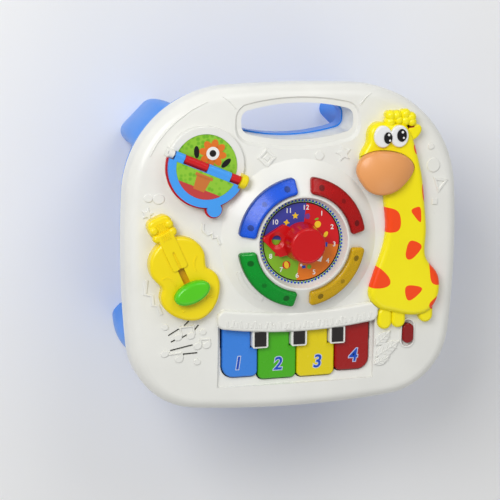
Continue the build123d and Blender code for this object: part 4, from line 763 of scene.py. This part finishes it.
def inside_corners(tree, place, corners, rounding_share):
    """A mask of the places inside a rounded shape, given by its corners in millimetres."""
    field = None
    rounding = rounding_share * (max(x for x, y in corners) - min(x for x, y in corners)) / 1000
    for index, (start_x, start_y) in enumerate(corners):
        end_x, end_y = corners[(index + 1) % len(corners)]
        outward = Vector((end_y - start_y, start_x - end_x, 0)).normalized()
        across = tree.nodes.new("ShaderNodeVectorMath")
        across.operation = "DOT_PRODUCT"
        across.inputs[1].default_value = outward
        tree.links.new(place, across.inputs[0])
        side = outward.dot(Vector((start_x, start_y, 0))) / 1000
        beyond = worked(tree, "SUBTRACT", across.outputs["Value"], side)
        field = beyond if field is None else worked(tree, "SMOOTH_MAX", field, beyond, rounding)
    return worked(tree, "LESS_THAN", field, spot_swell_share * rounding)


painted = None
for corners in spot_corners:
    spot = inside_corners(tree, place, corners, spot_rounding)
    painted = spot if painted is None else worked(tree, "MAXIMUM", painted, spot)
coat = mixed(tree, noise_of(tree, place, 22, 4), paint(244, 226, 8), paint(255, 242, 14))
spotted = mixed(tree, painted, coat, paint(252, 74, 14))
# Painted shade: the groove between horn and ear is coloured brown.
groove_shaded = mixed(tree, inside_corners(tree, place, groove_shade_corners, groove_shade_rounding), spotted, paint(170, 78, 16))
tree.links.new(groove_shaded, shader.inputs["Base Color"])
moulding(tree, shader, place, gloss=0.3, grain=0.08)
tufts = tree.nodes.new("ShaderNodeTexVoronoi")
tufts.inputs["Scale"].default_value = 190
tree.links.new(place, tufts.inputs["Vector"])
parts = tree.nodes.new("ShaderNodeSeparateXYZ")
tree.links.new(place, parts.inputs["Vector"])
lumps = tree.nodes.new("ShaderNodeBump")
lumps.invert = True
lumps.inputs["Distance"].default_value = 0.0003
tree.links.new(worked(tree, "GREATER_THAN", parts.outputs["Y"], hair_start_y), lumps.inputs["Strength"])
tree.links.new(tufts.outputs["Distance"], lumps.inputs["Height"])
tree.links.new(shader.inputs["Normal"].links[0].from_socket, lumps.inputs["Normal"])
tree.links.new(lumps.outputs["Normal"], shader.inputs["Normal"])
dress(giraffe_coat, "giraffe_body")
dress(moulded_plastic("nose_peach", paint(236, 162, 98), gloss=0.34, grain=0.1), "giraffe_muzzle")
dress(moulded_plastic("eye_white", paint(240, 240, 240), gloss=0.2, grain=0.03), "giraffe_eyes")
dress(moulded_plastic("pupil_black", paint(22, 20, 22), gloss=0.15, grain=0.02), "giraffe_pupils")
pupil_face = top_of("giraffe_pupils")
upper_dot_size, lower_dot_size, dot_corners = 0.0022, 0.0018, 16
bright_dots = []
for pupil_x, pupil_y in ((0.322, 0.872), (0.48, 0.882)):
    middle_x = giraffe_x + pupil_x * giraffe_width
    middle_y = giraffe_y + pupil_y * giraffe_length
    for aside, above, size in ((0.0006, 0.0027, upper_dot_size), (0.0016, -0.0022, lower_dot_size)):
        bright_dots.append(round_outline(middle_x + aside, middle_y + above, size, size, 0, dot_corners))
printed("eye_lights", bright_dots, pupil_face, 1, ink_white, "table")

# Piano: four hollow keys on one rod with black inserts between them. A printed number on each key,
# blue with a pale outline, gives its place in the scale.
key_table = (
    ("blue", (58, 132, 226), (-0.0536, -0.0985)),
    ("green", (72, 176, 22), (-0.0172, -0.1011)),
    ("yellow", (228, 208, 6), (0.0188, -0.1014)),
    ("red", (158, 8, 8), (0.052, -0.0981)))
key_number_height, key_number_slant, key_outline_swell = 0.0115, 0.15, 0.0007
ink_pale = printed_ink("ink_pale", paint(196, 208, 236))
for index, (name, colour, spot) in enumerate(key_table):
    key_name = "key_" + name
    dress(moulded_plastic(key_name, paint(*colour), gloss=0.26, grain=0.06), key_name)
    key_face = top_of(key_name)
    words = [(str(index + 1), *spot, key_number_height, key_number_slant)]
    outline = lettering("key_outline_" + name, words, key_face, print_rise, key_outline_swell)
    finish_piece(outline, ink_pale, key_name)
    number = lettering("key_number_" + name, words, key_face, 2 * print_rise)
    finish_piece(number, ink_blue, key_name)
dress(moulded_plastic("insert_black", paint(34, 30, 30), gloss=0.3, grain=0.1), "black_keys")

# Power switch: a deep red moulded knob that slides in a pocket of the tabletop. A low moulded frame
# rings the pocket, and the knob's stem works the slide switch below.
dress(moulded_plastic("power_red", paint(140, 6, 8), gloss=0.24, grain=0.06), "power_knob")

# Stage: a plain pale floor, three soft studio lamps and a dim white sky. The camera looks almost
# straight down on the table, a little from its left.
floor_reach = 6
floor_corners = [(-floor_reach, -floor_reach, 0), (floor_reach, -floor_reach, 0)]
floor_corners += [(floor_reach, floor_reach, 0), (-floor_reach, floor_reach, 0)]
floor_mesh = bpy.data.meshes.new("floor")
floor_mesh.from_pydata(floor_corners, [], [(0, 1, 2, 3)])
floor = bpy.data.objects.new("floor", floor_mesh)
bpy.context.scene.collection.objects.link(floor)
floor_paint, tree, shader, place = new_material("floor_paint")
floor_tone = mixed(tree, noise_of(tree, place, 3, 2), paint(243, 243, 242), paint(248, 248, 247))
tree.links.new(floor_tone, shader.inputs["Base Color"])
shader.inputs["Roughness"].default_value = 0.8
floor_mesh.materials.append(floor_paint)
world = bpy.data.worlds.new("studio")
world.use_nodes = True
world.node_tree.nodes["Background"].inputs["Color"].default_value = (1, 1, 1, 1)
world.node_tree.nodes["Background"].inputs["Strength"].default_value = 0.34
bpy.context.scene.world = world
lamp_table = (
    ("lamp_left", (-1.1, 0.9, 1.6), 23, 0.9),
    ("lamp_front", (0.6, -1.3, 1.7), 5, 1.4),
    ("lamp_back", (0.5, 1.4, 1.6), 8, 1.0))
lamp_aim = Vector((0, 0, 0.18))
for name, spot, power, size in lamp_table:
    lamp = bpy.data.lights.new(name, "AREA")
    lamp.energy = power
    lamp.size = size
    lamp_object = bpy.data.objects.new(name, lamp)
    lamp_object.location = spot
    lamp_object.rotation_euler = (lamp_aim - Vector(spot)).to_track_quat("-Z", "Y").to_euler()
    bpy.context.scene.collection.objects.link(lamp_object)
lens = bpy.data.cameras.new("camera")
lens.sensor_width = 36.0
lens.lens = 121.68
camera = bpy.data.objects.new("camera", lens)
camera_spot = (-0.4164, 0.2887, 1.5614)
camera_right = Vector((0.96515064, 0.00371486, 0.26166859))
camera_up = Vector((0.04811339, 0.98033581, -0.19138132))
camera_ahead = Vector((0.25723404, -0.19730157, -0.94599299))
camera_turn = Matrix((camera_right, camera_up, -camera_ahead)).transposed()
camera.matrix_world = Matrix.Translation(camera_spot) @ camera_turn.to_4x4()
bpy.context.scene.collection.objects.link(camera)
bpy.context.scene.camera = camera
